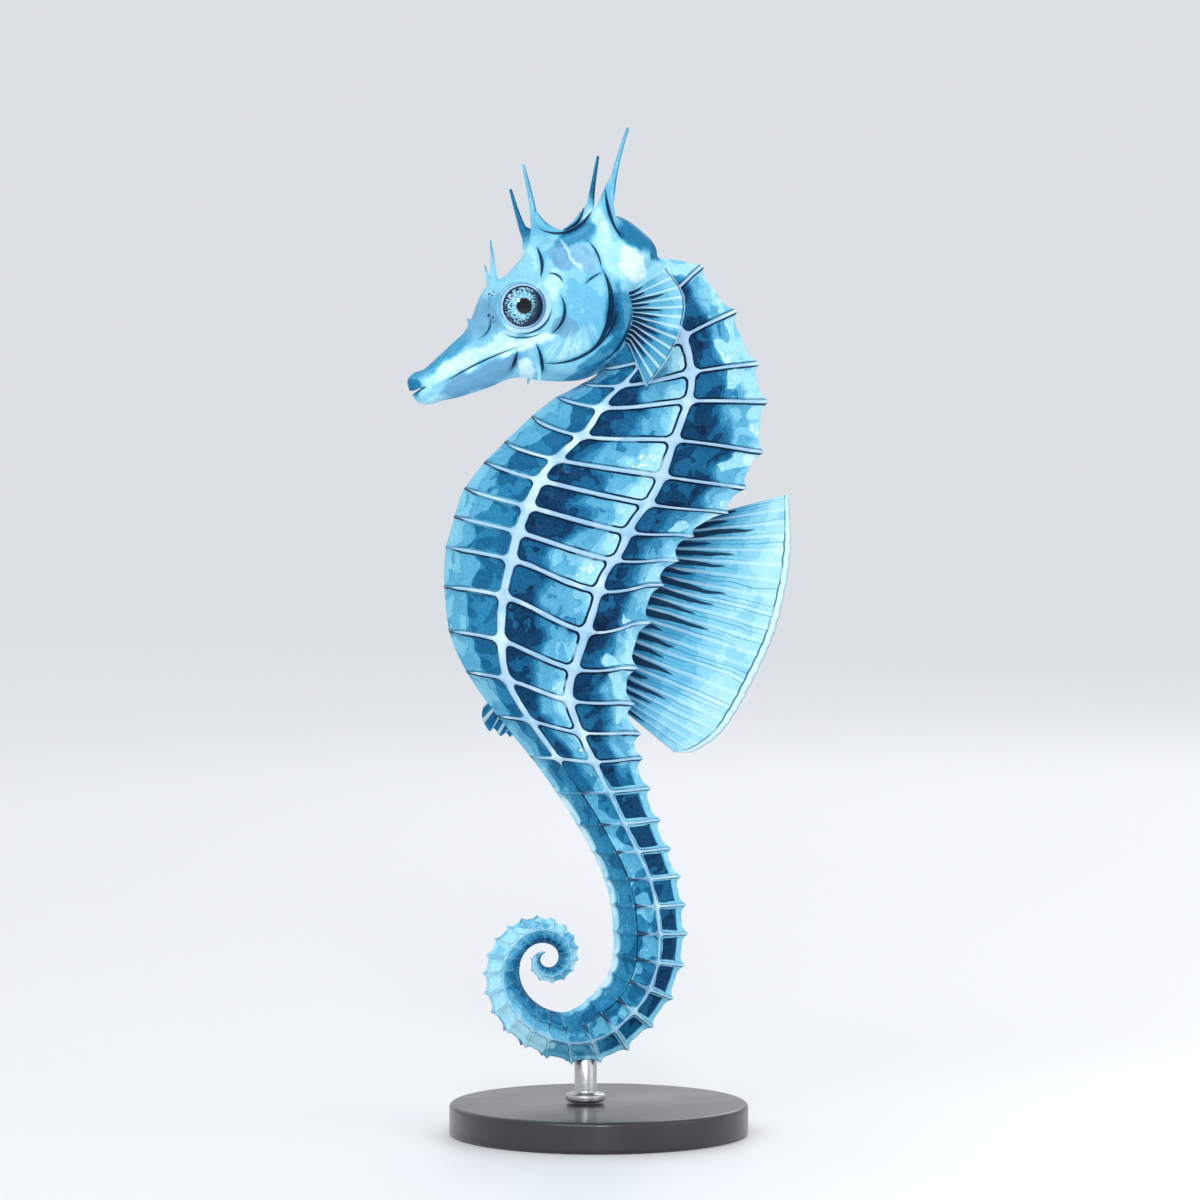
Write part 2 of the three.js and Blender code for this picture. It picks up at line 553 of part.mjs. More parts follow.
// ---------------------------------------------------------------- assembly
const seahorse = new THREE.Group();
function addPiece(name, solid, colour, roughness, metalness = 0) {
  const material = new THREE.MeshStandardMaterial({ color: colour, roughness, metalness });
  const mesh = new THREE.Mesh(geometryOf(solid), material);
  mesh.name = name;
  seahorse.add(mesh);
}

// Head and snout are one form parted by a thin cut.
const head = wholeHead();
const alongHead = new THREE.Vector3(Math.cos(headTilt), 0, Math.sin(headTilt));
const tip = new THREE.Vector3(HEAD.tip[0], 0, HEAD.tip[1] + TAIL_LOWEST);
const snoutCut = tip.dot(alongHead) + SNOUT_PARTING;
const snout = head.trimByPlane(alongHead.clone().negate().toArray(), -(snoutCut - GAP / 2));
const skull = head.trimByPlane(alongHead.toArray(), snoutCut + GAP / 2);
addPiece("snout", largest(snout), COLOURS.skin, 0.5);
addPiece("head", largest(skull), COLOURS.skin, 0.5);
HORNS.forEach((shape) => addPiece(shape.name, partedHorn(shape).horn, COLOURS.skin, 0.5));
addPiece("eye_left", inHead(eyeBall(-1, 0)), COLOURS.eye, 0.1);
addPiece("eye_right", inHead(eyeBall(1, 0)), COLOURS.eye, 0.1);

// Neck and trunk.
const trunkCuts = Object.values(PARTINGS).map(afterRing);
const neck = bodySkin(0, trunkCuts[0] - GAP / 2, FINE).subtract(headSide().translate(HEAD_CUT_GAP));
addPiece("neck", largest(neck), COLOURS.skin, 0.55);
["trunk_chest", "trunk_belly", "trunk_waist"].forEach((name, k) => {
  addPiece(name, bodySkin(trunkCuts[k] + GAP / 2, trunkCuts[k + 1] - GAP / 2, FINE), COLOURS.skin, 0.55);
});

// Tail lengths.
const tailCuts = [trunkCuts.at(-1), ...tailPartings(), bodyLength + GAP / 2];
for (let k = 0; k + 1 < tailCuts.length; k++) {
  const length = bodySkin(tailCuts[k] + GAP / 2, tailCuts[k + 1] - GAP / 2, COARSE);
  addPiece("tail_" + (k + 1), length, COLOURS.skin, 0.55);
}

// Fins are cut clear of the skin that they grow from.
const grownTrunk = bodySkin(0, trunkCuts.at(-1) + 12, FINE, GAP);
const clearOfBody = (fin) => largest(fin.subtract(grownTrunk));
addPiece("dorsal_fin", clearOfBody(fan(DORSAL_FIN, waving(DORSAL_FIN))), COLOURS.fin, 0.35);
addPiece("anal_fin", clearOfBody(fan(ANAL_FIN, waving(ANAL_FIN))), COLOURS.fin, 0.35);
for (const [name, side] of [["pectoral_fin_left", -1], ["pectoral_fin_right", 1]]) {
  const shifts = [[0, side * GAP, 0], [GAP, 0, 0], [0.7 * GAP, 0.7 * side * GAP, 0]];
  const clear = shifts.reduce((fin, shift) => fin.subtract(head.translate(shift)), pectoralFin(side));
  addPiece(name, clearOfBody(clear), COLOURS.fin, 0.35);
}

// Stand: a round base, and a rod whose top is cut to the underside of the tail.
const { radius, height, bevel, sides } = BASE;
const baseOutline = [[0, 0], [radius - bevel, 0], [radius, bevel], [radius, height - bevel]]
  .concat([[radius - bevel, height], [0, height]])
  .map(([r, z]) => new THREE.Vector2(r, z));
const upright = (geometry) => geometry.rotateX(Math.PI / 2);
addPiece("stand_base", solidOf(upright(new THREE.LatheGeometry(baseOutline, sides))), COLOURS.stand, 0.4);

const bendX = CURL.centre[0] + 6.2;
const rodTop = TAIL_LOWEST + 5;
const rodOutline = [
  [0, BASE.height + GAP],
  [ROD.foot, BASE.height + GAP],
  [ROD.foot, BASE.height + GAP + ROD.footHeight],
  [ROD.radius, BASE.height + GAP + 1.6 * ROD.footHeight],
  [ROD.radius, rodTop],
  [0, rodTop],
].map(([r, z]) => new THREE.Vector2(r, z));
const rod = solidOf(upright(new THREE.LatheGeometry(rodOutline, ROD.sides)).translate(bendX, 0, 0));
const grownTail = bodySkin(trunkCuts.at(-1), bodyLength, COARSE, GAP);
const underTail = rod.subtract(grownTail).decompose();
const lowestPiece = underTail.reduce((a, b) => (a.boundingBox().min[2] < b.boundingBox().min[2] ? a : b));
addPiece("stand_rod", lowestPiece, COLOURS.rod, 0.25, 0.9);

export default seahorse;
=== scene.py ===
"""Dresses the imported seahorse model: one skin with bony rings, a coronet of horns, eyes, fins and a stand."""

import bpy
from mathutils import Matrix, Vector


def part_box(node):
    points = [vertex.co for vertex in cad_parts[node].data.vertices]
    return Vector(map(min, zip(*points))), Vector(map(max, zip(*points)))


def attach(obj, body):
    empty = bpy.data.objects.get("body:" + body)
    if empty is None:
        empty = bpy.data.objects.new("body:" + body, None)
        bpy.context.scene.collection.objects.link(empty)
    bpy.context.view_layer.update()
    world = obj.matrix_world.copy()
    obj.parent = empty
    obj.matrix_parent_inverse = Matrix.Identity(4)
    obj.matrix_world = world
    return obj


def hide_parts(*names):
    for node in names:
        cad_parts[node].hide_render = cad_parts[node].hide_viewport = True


bl_info = {
    "name": "Seahorse Display Model",
    "version": (1, 0, 0),
    "blender": (4, 5, 0),
    "location": "View3D > Sidebar > Seahorse",
    "description": "Builds the finished surfaces of a life-size seahorse model round its frame",
    "category": "Object",
}

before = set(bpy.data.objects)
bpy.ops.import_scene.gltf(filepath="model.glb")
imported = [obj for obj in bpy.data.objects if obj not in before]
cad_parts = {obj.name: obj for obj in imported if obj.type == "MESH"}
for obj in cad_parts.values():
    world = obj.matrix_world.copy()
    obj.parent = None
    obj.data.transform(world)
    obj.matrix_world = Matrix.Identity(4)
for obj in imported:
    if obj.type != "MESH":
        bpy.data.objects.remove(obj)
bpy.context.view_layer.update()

import math

import bmesh
import bpy
import numpy as np
from bpy.props import FloatProperty, FloatVectorProperty, PointerProperty
from mathutils import Vector

MM = 0.001
BODY = "root"
MERGE = 1e-7
FLESH = [
    name
    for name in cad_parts
    if name.startswith(("head", "snout", "neck", "trunk", "tail"))
]

# ---------------------------------------------------------------- measures of the animal, in millimetres
BASE_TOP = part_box("stand_base")[1].z / MM
LOWEST_SCUTE = BASE_TOP + 6
RAISED = np.array([0, 0, LOWEST_SCUTE])

# Sections across the body, from the skull to the tail's bend, among them each bony ring of the trunk:
# back x, z and belly x, z above the lowest scute, width, and the places of the lateral and inferior ridges.
SECTIONS = [
    ("skull", 10.2, 129.9, -1.2, 118.2, 10.8, 0.6, 0.28),
    ("ring", 15.2, 127.3, 0.2, 114.7, 11.6, 0.6, 0.28),
    ("ring", 20.4, 120.4, 0.3, 111.2, 12.4, 0.6, 0.28),
    ("ring", 24.0, 112.4, -3.3, 108.8, 13.4, 0.62, 0.24),
    ("ring", 25.4, 106.4, -7.3, 106.6, 14.6, 0.62, 0.22),
    ("ring", 24.6, 98.5, -11.5, 103.1, 16.0, 0.61, 0.23),
    ("ring", 21.7, 92.8, -15.5, 99.3, 17.4, 0.65, 0.21),
    ("ring", 18.6, 88.9, -18.4, 96.4, 18.4, 0.68, 0.21),
    ("ring", 12.8, 85.2, -21.7, 91.9, 19.6, 0.73, 0.25),
    ("ring", 10.3, 81.3, -23.2, 87.3, 20.2, 0.74, 0.25),
    ("ring", 7.8, 77.4, -24.5, 82.3, 20.4, 0.72, 0.26),
    ("ring", 5.7, 71.4, -24.6, 75.5, 19.8, 0.71, 0.24),
    ("ring", 3.7, 64.2, -23.6, 68.8, 18.2, 0.67, 0.23),
    ("ring", 3.3, 58.5, -20.7, 62.7, 16.0, 0.59, 0.2),
    ("ring", 4.5, 53.6, -15.8, 55.8, 14.4, 0.54, 0.19),
    ("tail", 5.4, 48.3, -9.5, 48.0, 12.4, 0.53, 0.2),
    ("tail", 8.4, 39.2, -3.2, 38.6, 11.0, 0.53, 0.25),
    ("tail", 12.0, 29.1, 1.5, 29.0, 10.4, 0.57, 0.27),
    ("tail", 12.8, 18.7, 2.7, 19.6, 10.0, 0.6, 0.27),
    ("tail", 10.0, 9.9, 1.6, 14.2, 9.4, 0.6, 0.27),
    ("tail", 3.5, 3.2, -1.8, 10.4, 8.6, 0.6, 0.27),
]
# The curl: its centre and outer radius, how fast it winds in, the angles at which its sections stand,
# the share of the radius left hollow inside, where it thins out, and the places of its ridges
CURL_CENTRE = (-8.35, 17.3)
CURL_RADIUS = 15.1
CURL_SHRINK, CURL_SLOWING = 0.338, 0.0165
CURL_START, CURL_END, CURL_STEP = -20, 520, 20
CURL_HOLLOW = (0.55, 0.42)
CURL_TAPER, CURL_TIGHTEN, CURL_FLATNESS = 370, 0.5, 0.95
CURL_RIDGES = (0.6, 0.27)

# The pitch of the tail's rings, in shares of its depth, its limits, and the length without rings at the tip
TAIL_PITCH, LONGEST_PITCH, SHORTEST_PITCH, BARE_TIP = 0.43, 5.9, 1.3, 1.0
# The relief shrinks by this power where the body is less deep than this.
FULL_DEPTH, RELIEF_POWER = 22.0, 0.55
BACK_CORNER, SECTION_ROUNDNESS = 0.9, 0.92
# Half widths of the bars, and the reach of the hollows and knobs, at full depth
RING_BAR_REACH, RIDGE_BAR_REACH, HOLLOW_REACH, KNOB_REACH = 1.0, 1.3, 3.2, 1.9
# How far a panel is sunk right beside its bars, as a share of its middle, and how pointed the knobs are
SINK_AT_BAR, KNOB_POINT = 0.35, 1.6
# The rings under the gill covers that have no knobs, and those of the throat that have no bars near the keel
KNOBLESS_RINGS, THROAT_RINGS, THROAT_COLUMNS = 2.5, 1.5, 2.2
# How deep the neck starts under the head's skin, and what is left of the relief at the tail's tip
NECK_TUCK, TIP_RELIEF = 1.1, 0.3

# The skin's grid: columns of each panel from the keel round to the keel, rows of each ring,
# and how much they crowd at the bars
PANEL_COLUMNS = (12, 20, 16, 10, 16, 20, 12)
TRUNK_ROWS, TAIL_ROW_LENGTH, CROWDING = 16, 0.45, 0.09
RIDGE_NAMES = ("keel", "inferior", "lateral", "superior")
# How far the bars of the rings lie towards the tail where they cross a ridge, in shares of a ring
RING_BENDS = {
    "ring": (0, 2, 5, 7, 9, 11, 13, 16),
    "keel": (0, -0.28, -0.28, -0.11, -0.17, -0.22, -0.1, 0),
    "inferior": (0, 0.22, 0.26, 0.19, 0, -0.19, -0.1, 0),
    "lateral": (0, 0, 0, 0.26, 0.39, 0.37, 0.2, 0),
    "superior": (0, 0, 0, 0, 0, 0, 0, 0),
}

# The head has its own axes: t back from the tip of the snout, n up across it.
SNOUT_TIP = (-30.7, 108.5)
HEAD_TILT = math.radians(29)
HEAD_COS, HEAD_SIN = math.cos(HEAD_TILT), math.sin(HEAD_TILT)
# t, lowest and highest n, half width, how far the top narrows, sharpness of its corners
HEAD_SECTIONS = [
    (0, -2.2, 0.5, 1.1, 0, 0),
    (0.5, -3.2, 1.4, 1.8, 0, 0),
    (2, -4, 1.8, 2.15, 0, 0),
    (3.4, -4.2, 1.5, 1.95, 0, 0),
    (6.2, -5.1, 2.1, 2.15, 0.1, 0),
    (9.6, -5.8, 2.9, 2.45, 0.15, 0),
    (12, -6.2, 3.5, 2.8, 0.2, 0),
    (14.3, -6.4, 4.9, 3.3, 0.25, 0.05),
    (16.4, -7.1, 6.7, 3.9, 0.25, 0.1),
    (18.8, -8.9, 8.1, 4.5, 0.25, 0.15),
    (22.5, -11.2, 8.2, 5, 0.25, 0.2),
    (26, -12.5, 9.3, 5.3, 0.22, 0.3),
    (30, -12.4, 10.2, 5.6, 0.27, 0.35),
    (34, -10.8, 9.6, 5.8, 0.3, 0.35),
    (37.5, -8, 9.5, 5.7, 0.25, 0.35),
    (41, -5, 9.0, 5.2, 0.2, 0.25),
    (43.6, -2.5, 6.8, 4.4, 0.1, 0.1),
    (45.6, -0.6, 2.4, 2.2, 0, 0),
]
# Ellipsoids of the head: t, y, n of the middle and the three radii.
GILL_COVER = ((27, 4, -2.1), (7, 3.9, 7.8))
GILL_RIM = ((28.6, 2.9, -2.5), (10.7, 4.5, 9.3))
ORBIT = ((21.3, 3.2, 3), (5, 3.1, 5))
EYE = ((21.3, 4.35, 3), (4, 2.9, 4))
EYE_OPENING = ((21.3, 6.2, 3), (3.7, 3.4, 3.7))
EYE_GAP = 0.06
PUPIL, IRIS = 1.25, 3.1

# Horns: root and tip x, y, z above the lowest scute, base radius, sway, how fast the flare ends
HORNS = {
    "horn_rear_left": ((0.9, -2.3, 131), (3.4, -6.2, 149.8), 2.6, -0.9, 4.4),
    "horn_rear_right": ((-1.4, 2.3, 131), (1.2, 6.2, 145.9), 2.5, -0.3, 4.4),
    "horn_front_left": ((-10.2, -1.3, 128.4), (-13.3, -5, 143.9), 2.1, 0.5, 4.2),
    "horn_front_right": ((-9.8, 1.3, 128.4), (-13.4, 5, 140.4), 2.1, -0.3, 4.2),
}
SPINES = {
    "nose left": ((-17.3, -1.1, 123.2), (-18.1, -2.3, 132.3), 1.3, 0.2, 5),
    "nose right": ((-17.2, 1.1, 122.8), (-18.1, 2.5, 128.4), 1.1, 0.1, 5),
    "snout bump": ((-20, 0, 117.6), (-21.5, 0, 119.8), 1.3, 0, 5),
    "cheek left": ((-10.4, -3.4, 113), (-10.6, -4.9, 109), 1.0, 0, 4),
    "cheek right": ((-10.4, 3.4, 113), (-10.6, 4.9, 109), 1.0, 0, 4),
}
# The raised edges of the crown, from the foot of a front horn to the rear one: x, y, z and radius.
CROWN_EDGES = [
    [
        (-11.1, -3.5, 136.6, 0.3),
        (-9.9, -3.2, 134.3, 1.0),
        (-8.3, -3.0, 132.8, 1.4),
        (-6.2, -2.9, 132.1, 1.5),
        (-4.0, -3.0, 133.0, 1.4),
        (-1.9, -3.2, 134.8, 1.3),
        (-0.1, -3.5, 137.2, 1.1),
        (0.5, -3.9, 139.8, 0.65),
        (1.2, -4.4, 142.2, 0.3),
    ],
    [
        (-11.5, 3.1, 134.4, 0.35),
        (-10.3, 3.1, 133.2, 0.9),
        (-8.2, 2.9, 132.5, 1.4),
        (-6.4, 2.8, 132.0, 1.5),
        (-4.6, 2.9, 132.8, 1.4),
        (-2.9, 3.2, 134.3, 1.2),
        (-1.5, 3.6, 136.3, 1.0),
        (-0.6, 4.1, 138.2, 0.5),
        (-0.1, 4.4, 139.8, 0.3),
    ],
]
LID_RADIUS, LID_Y, LID_THICKNESS = 4.0, 5.4, 0.46
MOUTH = ((0, 0, -0.9), (2.5, 4, 0.34))
MOUTH_HOLLOW = ((0, 0, -0.9), (2.0, 1.1, 1.05))
HORN_TIP, HORN_SHAFT, HORN_STRETCH = 0.2, 0.68, 1.6
# Places along a horn where its foot is smoothed into the crown, the shaft starting at the first of them,
# how far the shaft stands over the foot, and the widths that round off the tip
HORN_FEET = (0.22, 0.34)
HORN_OVERLAP = 0.03
HORN_CAP = {0.993: 0.9, 0.998: 0.65, 1.0: 0.3}
CAP_START, HORN_ROWS, HORN_SIDES = 0.985, 66, 28
# t, y, n of the nape, and how far round the feet, the crown's edges and the nape the skin is smoothed
NAPE = (43.5, 0, 3.5)
FEET_REACH, RIMS_REACH, NAPE_REACH = 3.0, 2.2, 7

# Fins: rays, start of the fan inside the skin, how far its last corner is cut back, root and rim x, z,
# tones at root and rim, width of the ink strokes, place and half width of the rim's line, light of the rays
# and shade of the lower rays
DORSAL_FIN = {
    "rays": 22,
    "start": -0.06,
    "corner": 0.13,
    "root": [(20.3, 88.8), (11.8, 82.6), (7.4, 76.6), (4.4, 69.5), (2.4, 62), (3.2, 57.6)],
    "rim": [(31.3, 91.6), (31.9, 82), (29.7, 71), (25.5, 62), (20.2, 53.4), (13.9, 49)],
    "tones": (0.24, 0.8),
    "stroke": 0.38,
    "line": (0.94, 0.003),
    "ray_light": 0.28,
    "lower_shade": 0.0,
}
PECTORAL_FIN = {
    "rays": 13,
    "start": -0.35,
    "corner": 0,
    "root": [(4.1, 123.9), (4.8, 119.8), (3.6, 115.4)],
    "rim": [(8.6, 127.6), (11.6, 123), (11.1, 118), (8.8, 113), (5.3, 108.6)],
    "tones": (0.4, 0.72),
    "stroke": 0.42,
    "line": (0.965, 0.009),
    "ray_light": 0.5,
    "lower_shade": 0.3,
}
# How far the pectoral fins stand off the middle, lean out, sink into the skin at their roots and bulge
PECTORAL_Y, PECTORAL_LEAN, PECTORAL_SINK, PECTORAL_BULGE = 6.1, 4.7, 13, 0.5
ANAL_FIN = {
    "rays": 6,
    "start": -0.12,
    "corner": 0,
    "root": [(-17.4, 59.3), (-12.8, 54.4)],
    "rim": [
        (-18.9, 57.8),
        (-19.0, 56.0),
        (-17.9, 53.9),
        (-17.1, 54.3),
        (-16.1, 53.1),
        (-15.2, 53.6),
        (-14.5, 52.8),
    ],
    "tones": (0.02, 0.2),
    "stroke": 0.36,
    "line": (0.97, 0.003),
    "ray_light": 0.5,
    "lower_shade": 0.0,
}

# A fin's form, in shares of its reach or of a gap between rays: how far the rim is notched between them, the
# part of the spread that the cut corner takes, half a ray's width, how much the rays thin towards the rim, and
# the stretches over which the fan thins out to its rim and to its buried start
RIM_NOTCH, CORNER_PART, RAY_WIDTH, RAY_TAPER, RIM_EDGE, ROOT_EDGE = 0.005, 0.07, 0.2, 0.55, 0.04, 0.02
FIN_WAVES = 1.1

# Folds and drawn lines of the head, each an arc through three places t, n, with its half width and depth.
FOLDS = {
    "gill rear": ((35.6, 2.2), (33.7, -3.8), (27.6, -8.6), 0.42, 0.5),
    "gill under": ((19.6, -6.3), (25.6, -8.5), (34.5, -5.0), 0.24, 0.25),
    "rim edge": ((36.9, -5.6), (33.1, -9.6), (26.4, -11.0), 0.16, 0.1),
    "crown to gill": ((35.9, 7.0), (36.1, 4.4), (35.3, 1.8), 0.17, 0.12),
    "gill tick": ((35.3, 1.5), (33.6, 1.6), (31.3, 1.2), 0.15, 0.1),
    "jaw line": ((3.7, -1.9), (11.1, -1.7), (18.8, -2.6), 0.15, 0.22),
    "jaw corner": ((17.6, -2.7), (16.4, -4.3), (14.8, -5.7), 0.26, 0.2),
    "cheek line": ((20.4, -2.8), (20.0, -6.1), (18.7, -9.6), 0.25, 0.22),
    "eye fold": ((27.2, 2.0), (26.4, -1.0), (22.7, -2.9), 0.24, 0.25),
    "brow": ((27.4, 5.5), (28.6, 4.6), (28.5, 3.0), 0.17, 0.12),
    "front horn crease": ((28.3, 10.2), (28.0, 7.8), (26.0, 5.4), 0.26, 0.28),
    "rear horn edge": ((42.6, 13.2), (40.9, 8.0), (41.0, 3.9), 0.26, 0.2),
    "crown edge": ((29.6, 12.9), (33.9, 9.6), (40.4, 12.6), 0.24, 0.28),
    "lower lid": ((18.6, -0.4), (22.1, -1.3), (25.1, 0.9), 0.16, 0.12),
    "upper lid": ((17.9, 5.3), (20.6, 7.0), (23.4, 6.2), 0.05, 0.02),
    "snout line": ((12.9, 1.7), (15.6, 2.5), (16.4, 4.2), 0.12, 0.1),
    "under eye": ((16.6, 0.9), (18.8, -1.3), (22.5, -2.1), 0.12, 0.1),
}
ALL_ROUND_FOLDS = ("crown edge", "rear horn edge", "jaw line")
FOLD_WIDENING, NARROWEST_FOLD = 1.5, 0.45

# Washes of colour on the head: middle t, n, the two radii, turn in degrees, softness and tone from 0 to 1.
# Some washes are painted light: highlights on the snout, cheek and nape, and painted shade behind the gill
# cover, on the nape, at the neck and below the crown.
HEAD_WASHES = {
    "snout ridge": (7.5, 2.6, 9, 1.3, 9, 0.5, 0.42),
    "snout highlight": (8.8, -0.3, 6.8, 1.3, 1, 0.25, 0.9),
    "cheek highlight": (15.8, -0.7, 3.2, 1.6, 12, 0.2, 0.9),
    "jaw": (10.6, -3.9, 7.6, 1.9, -2, 0.2, 0.44),
    "chin": (17.4, -6.4, 1.5, 2.0, 0, 0.2, 0.95),
    "mouth": (0.4, 0.2, 0.9, 1.2, 0, 0.4, 0.3),
    "lower lip": (2.0, -3.3, 2.4, 1.0, -15, 0.3, 0.8),
    "face": (15.3, 4.6, 3.6, 2.6, 35, 0.5, 0.5),
    "brow ridge": (21.5, 8.6, 5.2, 1.4, 4, 0.4, 0.72),
    "below eye": (19.6, -2.6, 4.6, 1.0, -12, 0.25, 0.95),
    "behind eye": (27.4, 3.0, 1.6, 2.4, -10, 0.2, 0.9),
    "gill middle": (29.9, -1.9, 3.9, 4.6, 0, 0.4, 0.6),
    "gill front": (25.4, -3.4, 1.7, 2.2, 20, 0.15, 0.47),
    "gill foot": (23.4, -6.3, 3.4, 2.0, -15, 0.5, 0.76),
    "rim below": (28.2, -10.4, 6.6, 1.3, 14, 0.3, 0.4),
    "rim behind": (35.9, -4.6, 1.5, 4.6, -28, 0.35, 0.5),
    "crescent shade": (33.6, -5.6, 1.3, 4.2, -35, 0.7, 0.22),
    "nape band": (37.8, 2.6, 1.6, 5.2, 0, 0.3, 0.8),
    "nape highlight": (40.4, 0.4, 2.4, 2.7, -20, 0.15, 1.0),
    "nape shade": (43.7, 4.4, 2.9, 3.2, 30, 0.25, 0.3),
    "neck shade": (45.4, 0.2, 1.3, 2.2, 0, 0.3, 0.28),
    "crown shade": (34.2, 8.3, 5.2, 1.5, 6, 0.35, 0.4),
    "crown front": (30.6, 6.6, 1.7, 2.3, 0, 0.15, 0.5),
    "crown back": (33.9, 4.7, 1.7, 2.3, 0, 0.2, 0.64),
    "crown seam": (32.2, 5.9, 0.35, 2.6, 4, 0.5, 0.9),
    "front foot": (26.8, 8.8, 1.1, 2.8, 8, 0.3, 0.78),
    "rear foot": (39.2, 9.2, 1.3, 4.0, -14, 0.35, 0.88),
    "far crown": (36.6, 12.2, 3.6, 1.6, 20, 0.3, 0.26),
}
GREY_WASHES = ("face", "jaw", "crown front", "crown back", "gill front")
WHITE_SPOTS = ((24.3, -7.2, 2.6, 1.0, -12, 0.2), (27.0, 8.4, 0.7, 2.2, 8, 0.2))
GILL_FAN = (24.8, -5.8, 5.0, 2.4, -10, 0.5)
FAN_CENTRE = (29.0, -1.0)
# n over which the head turns into the horns, and the side of the eye that the light lid is on
HORN_FOOT = (9.5, 13.0)
LID_SIDE = (0.28, -0.96, 0)

# ---------------------------------------------------------------- finishes of the surfaces
TONES = {"ink": 0.0, "navy": 0.14, "teal": 0.34, "sky": 0.56, "pale": 0.78, "white": 1.0}
SKIN_GLOSS = {"Coat Weight": 0.03, "Coat Roughness": 0.2, "Specular IOR Level": 0.04}
EYE_GLOSS = {"Coat Weight": 1.0, "Coat Roughness": 0.02, "Coat IOR": 1.42, "Specular IOR Level": 0.0}
LACQUER_GLOSS = {"Coat Weight": 0.4, "Coat Roughness": 0.15}
PAPER_GRAIN, SKIN_PORES, BUMP_DEPTH = 2300, 1800, 0.0002
PUPIL_BLACK = (0.0005, 0.002, 0.006, 1)
# Rings over which the trunk's colours turn into the tail's, and the tail's into the curl's
TAIL_RINGS, CURL_RINGS = (14.6, 16.4), (24.5, 28.0)
# Corner radius of the panels' colour, and the width of a bar that isn't drawn
PANEL_ROUNDING, NO_BAR = 1.1, -1.4

# ---------------------------------------------------------------- stand, in millimetres
ROD_RADIUS, ROD_COLLAR, ROD_INTO_TAIL = 1.8, 1.3, 0.3
ROD_FILLET, ROD_BEVEL, COLLAR_BEVEL, BASE_BEVEL = 0.5, 0.2, 0.45, 0.7

# ---------------------------------------------------------------- stage
# The floor in millimetres, a disc that bends up far behind. Lights have a place and a size in metres.
FLOOR_FLAT, FLOOR_BEND, FLOOR_MERGE = 1000, 2200, 1e-5
PAPER_GREY, ROOM_WHITE = (0.86, 0.87, 0.88, 1), (0.93, 0.96, 1.0, 1)
LIGHTS = {
    "key": ((-0.55, -0.75, 0.75), 0.5),
    "fill": ((0.8, -0.6, 0.4), 0.7),
    "rim": ((0.5, 0.8, 0.6), 0.5),
    "glint": ((-0.15, -0.86, 0.44), 0.16),
}
LIGHT_TARGET = (0, 0, 0.085)
CAMERA_HEIGHT, CAMERA_SHIFT = 0.0857, 0.0002


# ---------------------------------------------------------------- settings
class SeahorseSizes(bpy.types.PropertyGroup):
    """Sizes of the finished surfaces."""

    voxel: FloatProperty(
        name="Head Detail", description="Mesh size of the head's skin", default=0.00027,
        min=0.0002, unit="LENGTH",
    )
    superior: FloatProperty(
        name="Back Knob", description="Height of the knobs along the back at full depth",
        default=0.002, unit="LENGTH",
    )
    lateral: FloatProperty(
        name="Side Knob", description="Height of the knobs of the side ridge", default=0.00075,
        unit="LENGTH",
    )
    inferior: FloatProperty(
        name="Lower Knob", description="Height of the knobs of the lower ridge", default=0.0006,
        unit="LENGTH",
    )
    keel: FloatProperty(
        name="Keel Knob", description="Height of the knobs under the belly", default=0.00045,
        unit="LENGTH",
    )
    bar: FloatProperty(
        name="Plate Bar", description="Height of the raised bars round a plate", default=0.0004,
        unit="LENGTH",
    )
    sink: FloatProperty(
        name="Plate Hollow", description="Depth of a plate's middle", default=0.00055, unit="LENGTH"
    )
    membrane: FloatProperty(
        name="Fin Membrane", description="Thickness of a fin between its rays", default=0.00035,
        unit="LENGTH",
    )
    ray: FloatProperty(
        name="Fin Ray", description="Thickness of a fin ray at its root", default=0.00095,
        unit="LENGTH",
    )


class SeahorseColours(bpy.types.PropertyGroup):
    """Colours of the finished surfaces."""

    ink: FloatVectorProperty(
        name="Ink", description="Darkest blue, in folds", subtype="COLOR", default=(0.003, 0.016, 0.05)
    )
    navy: FloatVectorProperty(
        name="Navy", description="Dark blue of the plates", subtype="COLOR", default=(0.004, 0.072, 0.185)
    )
    teal: FloatVectorProperty(
        name="Teal", description="Middle blue of the plates", subtype="COLOR", default=(0.02, 0.205, 0.385)
    )
    sky: FloatVectorProperty(
        name="Sky", description="Light blue of the skin", subtype="COLOR", default=(0.13, 0.46, 0.67)
    )
    pale: FloatVectorProperty(
        name="Pale", description="Pale cyan of the skin", subtype="COLOR", default=(0.34, 0.7, 0.86)
    )
    white: FloatVectorProperty(
        name="White", description="Bare light patches of the skin", subtype="COLOR",
        default=(0.74, 0.93, 0.97),
    )
    grey: FloatVectorProperty(
        name="Lavender Grey", description="Greyish washes of the head", subtype="COLOR",
        default=(0.25, 0.4, 0.6),
    )
    bar: FloatVectorProperty(
        name="Bar", description="Lavender white of the bony bars", subtype="COLOR",
        default=(0.44, 0.64, 0.84),
    )
    stand: FloatVectorProperty(
        name="Stand", description="Satin black of the base", subtype="COLOR", default=(0.012, 0.013, 0.016)
    )
    steel: FloatVectorProperty(
        name="Steel", description="Brushed steel of the rod", subtype="COLOR", default=(0.5, 0.51, 0.52)
    )


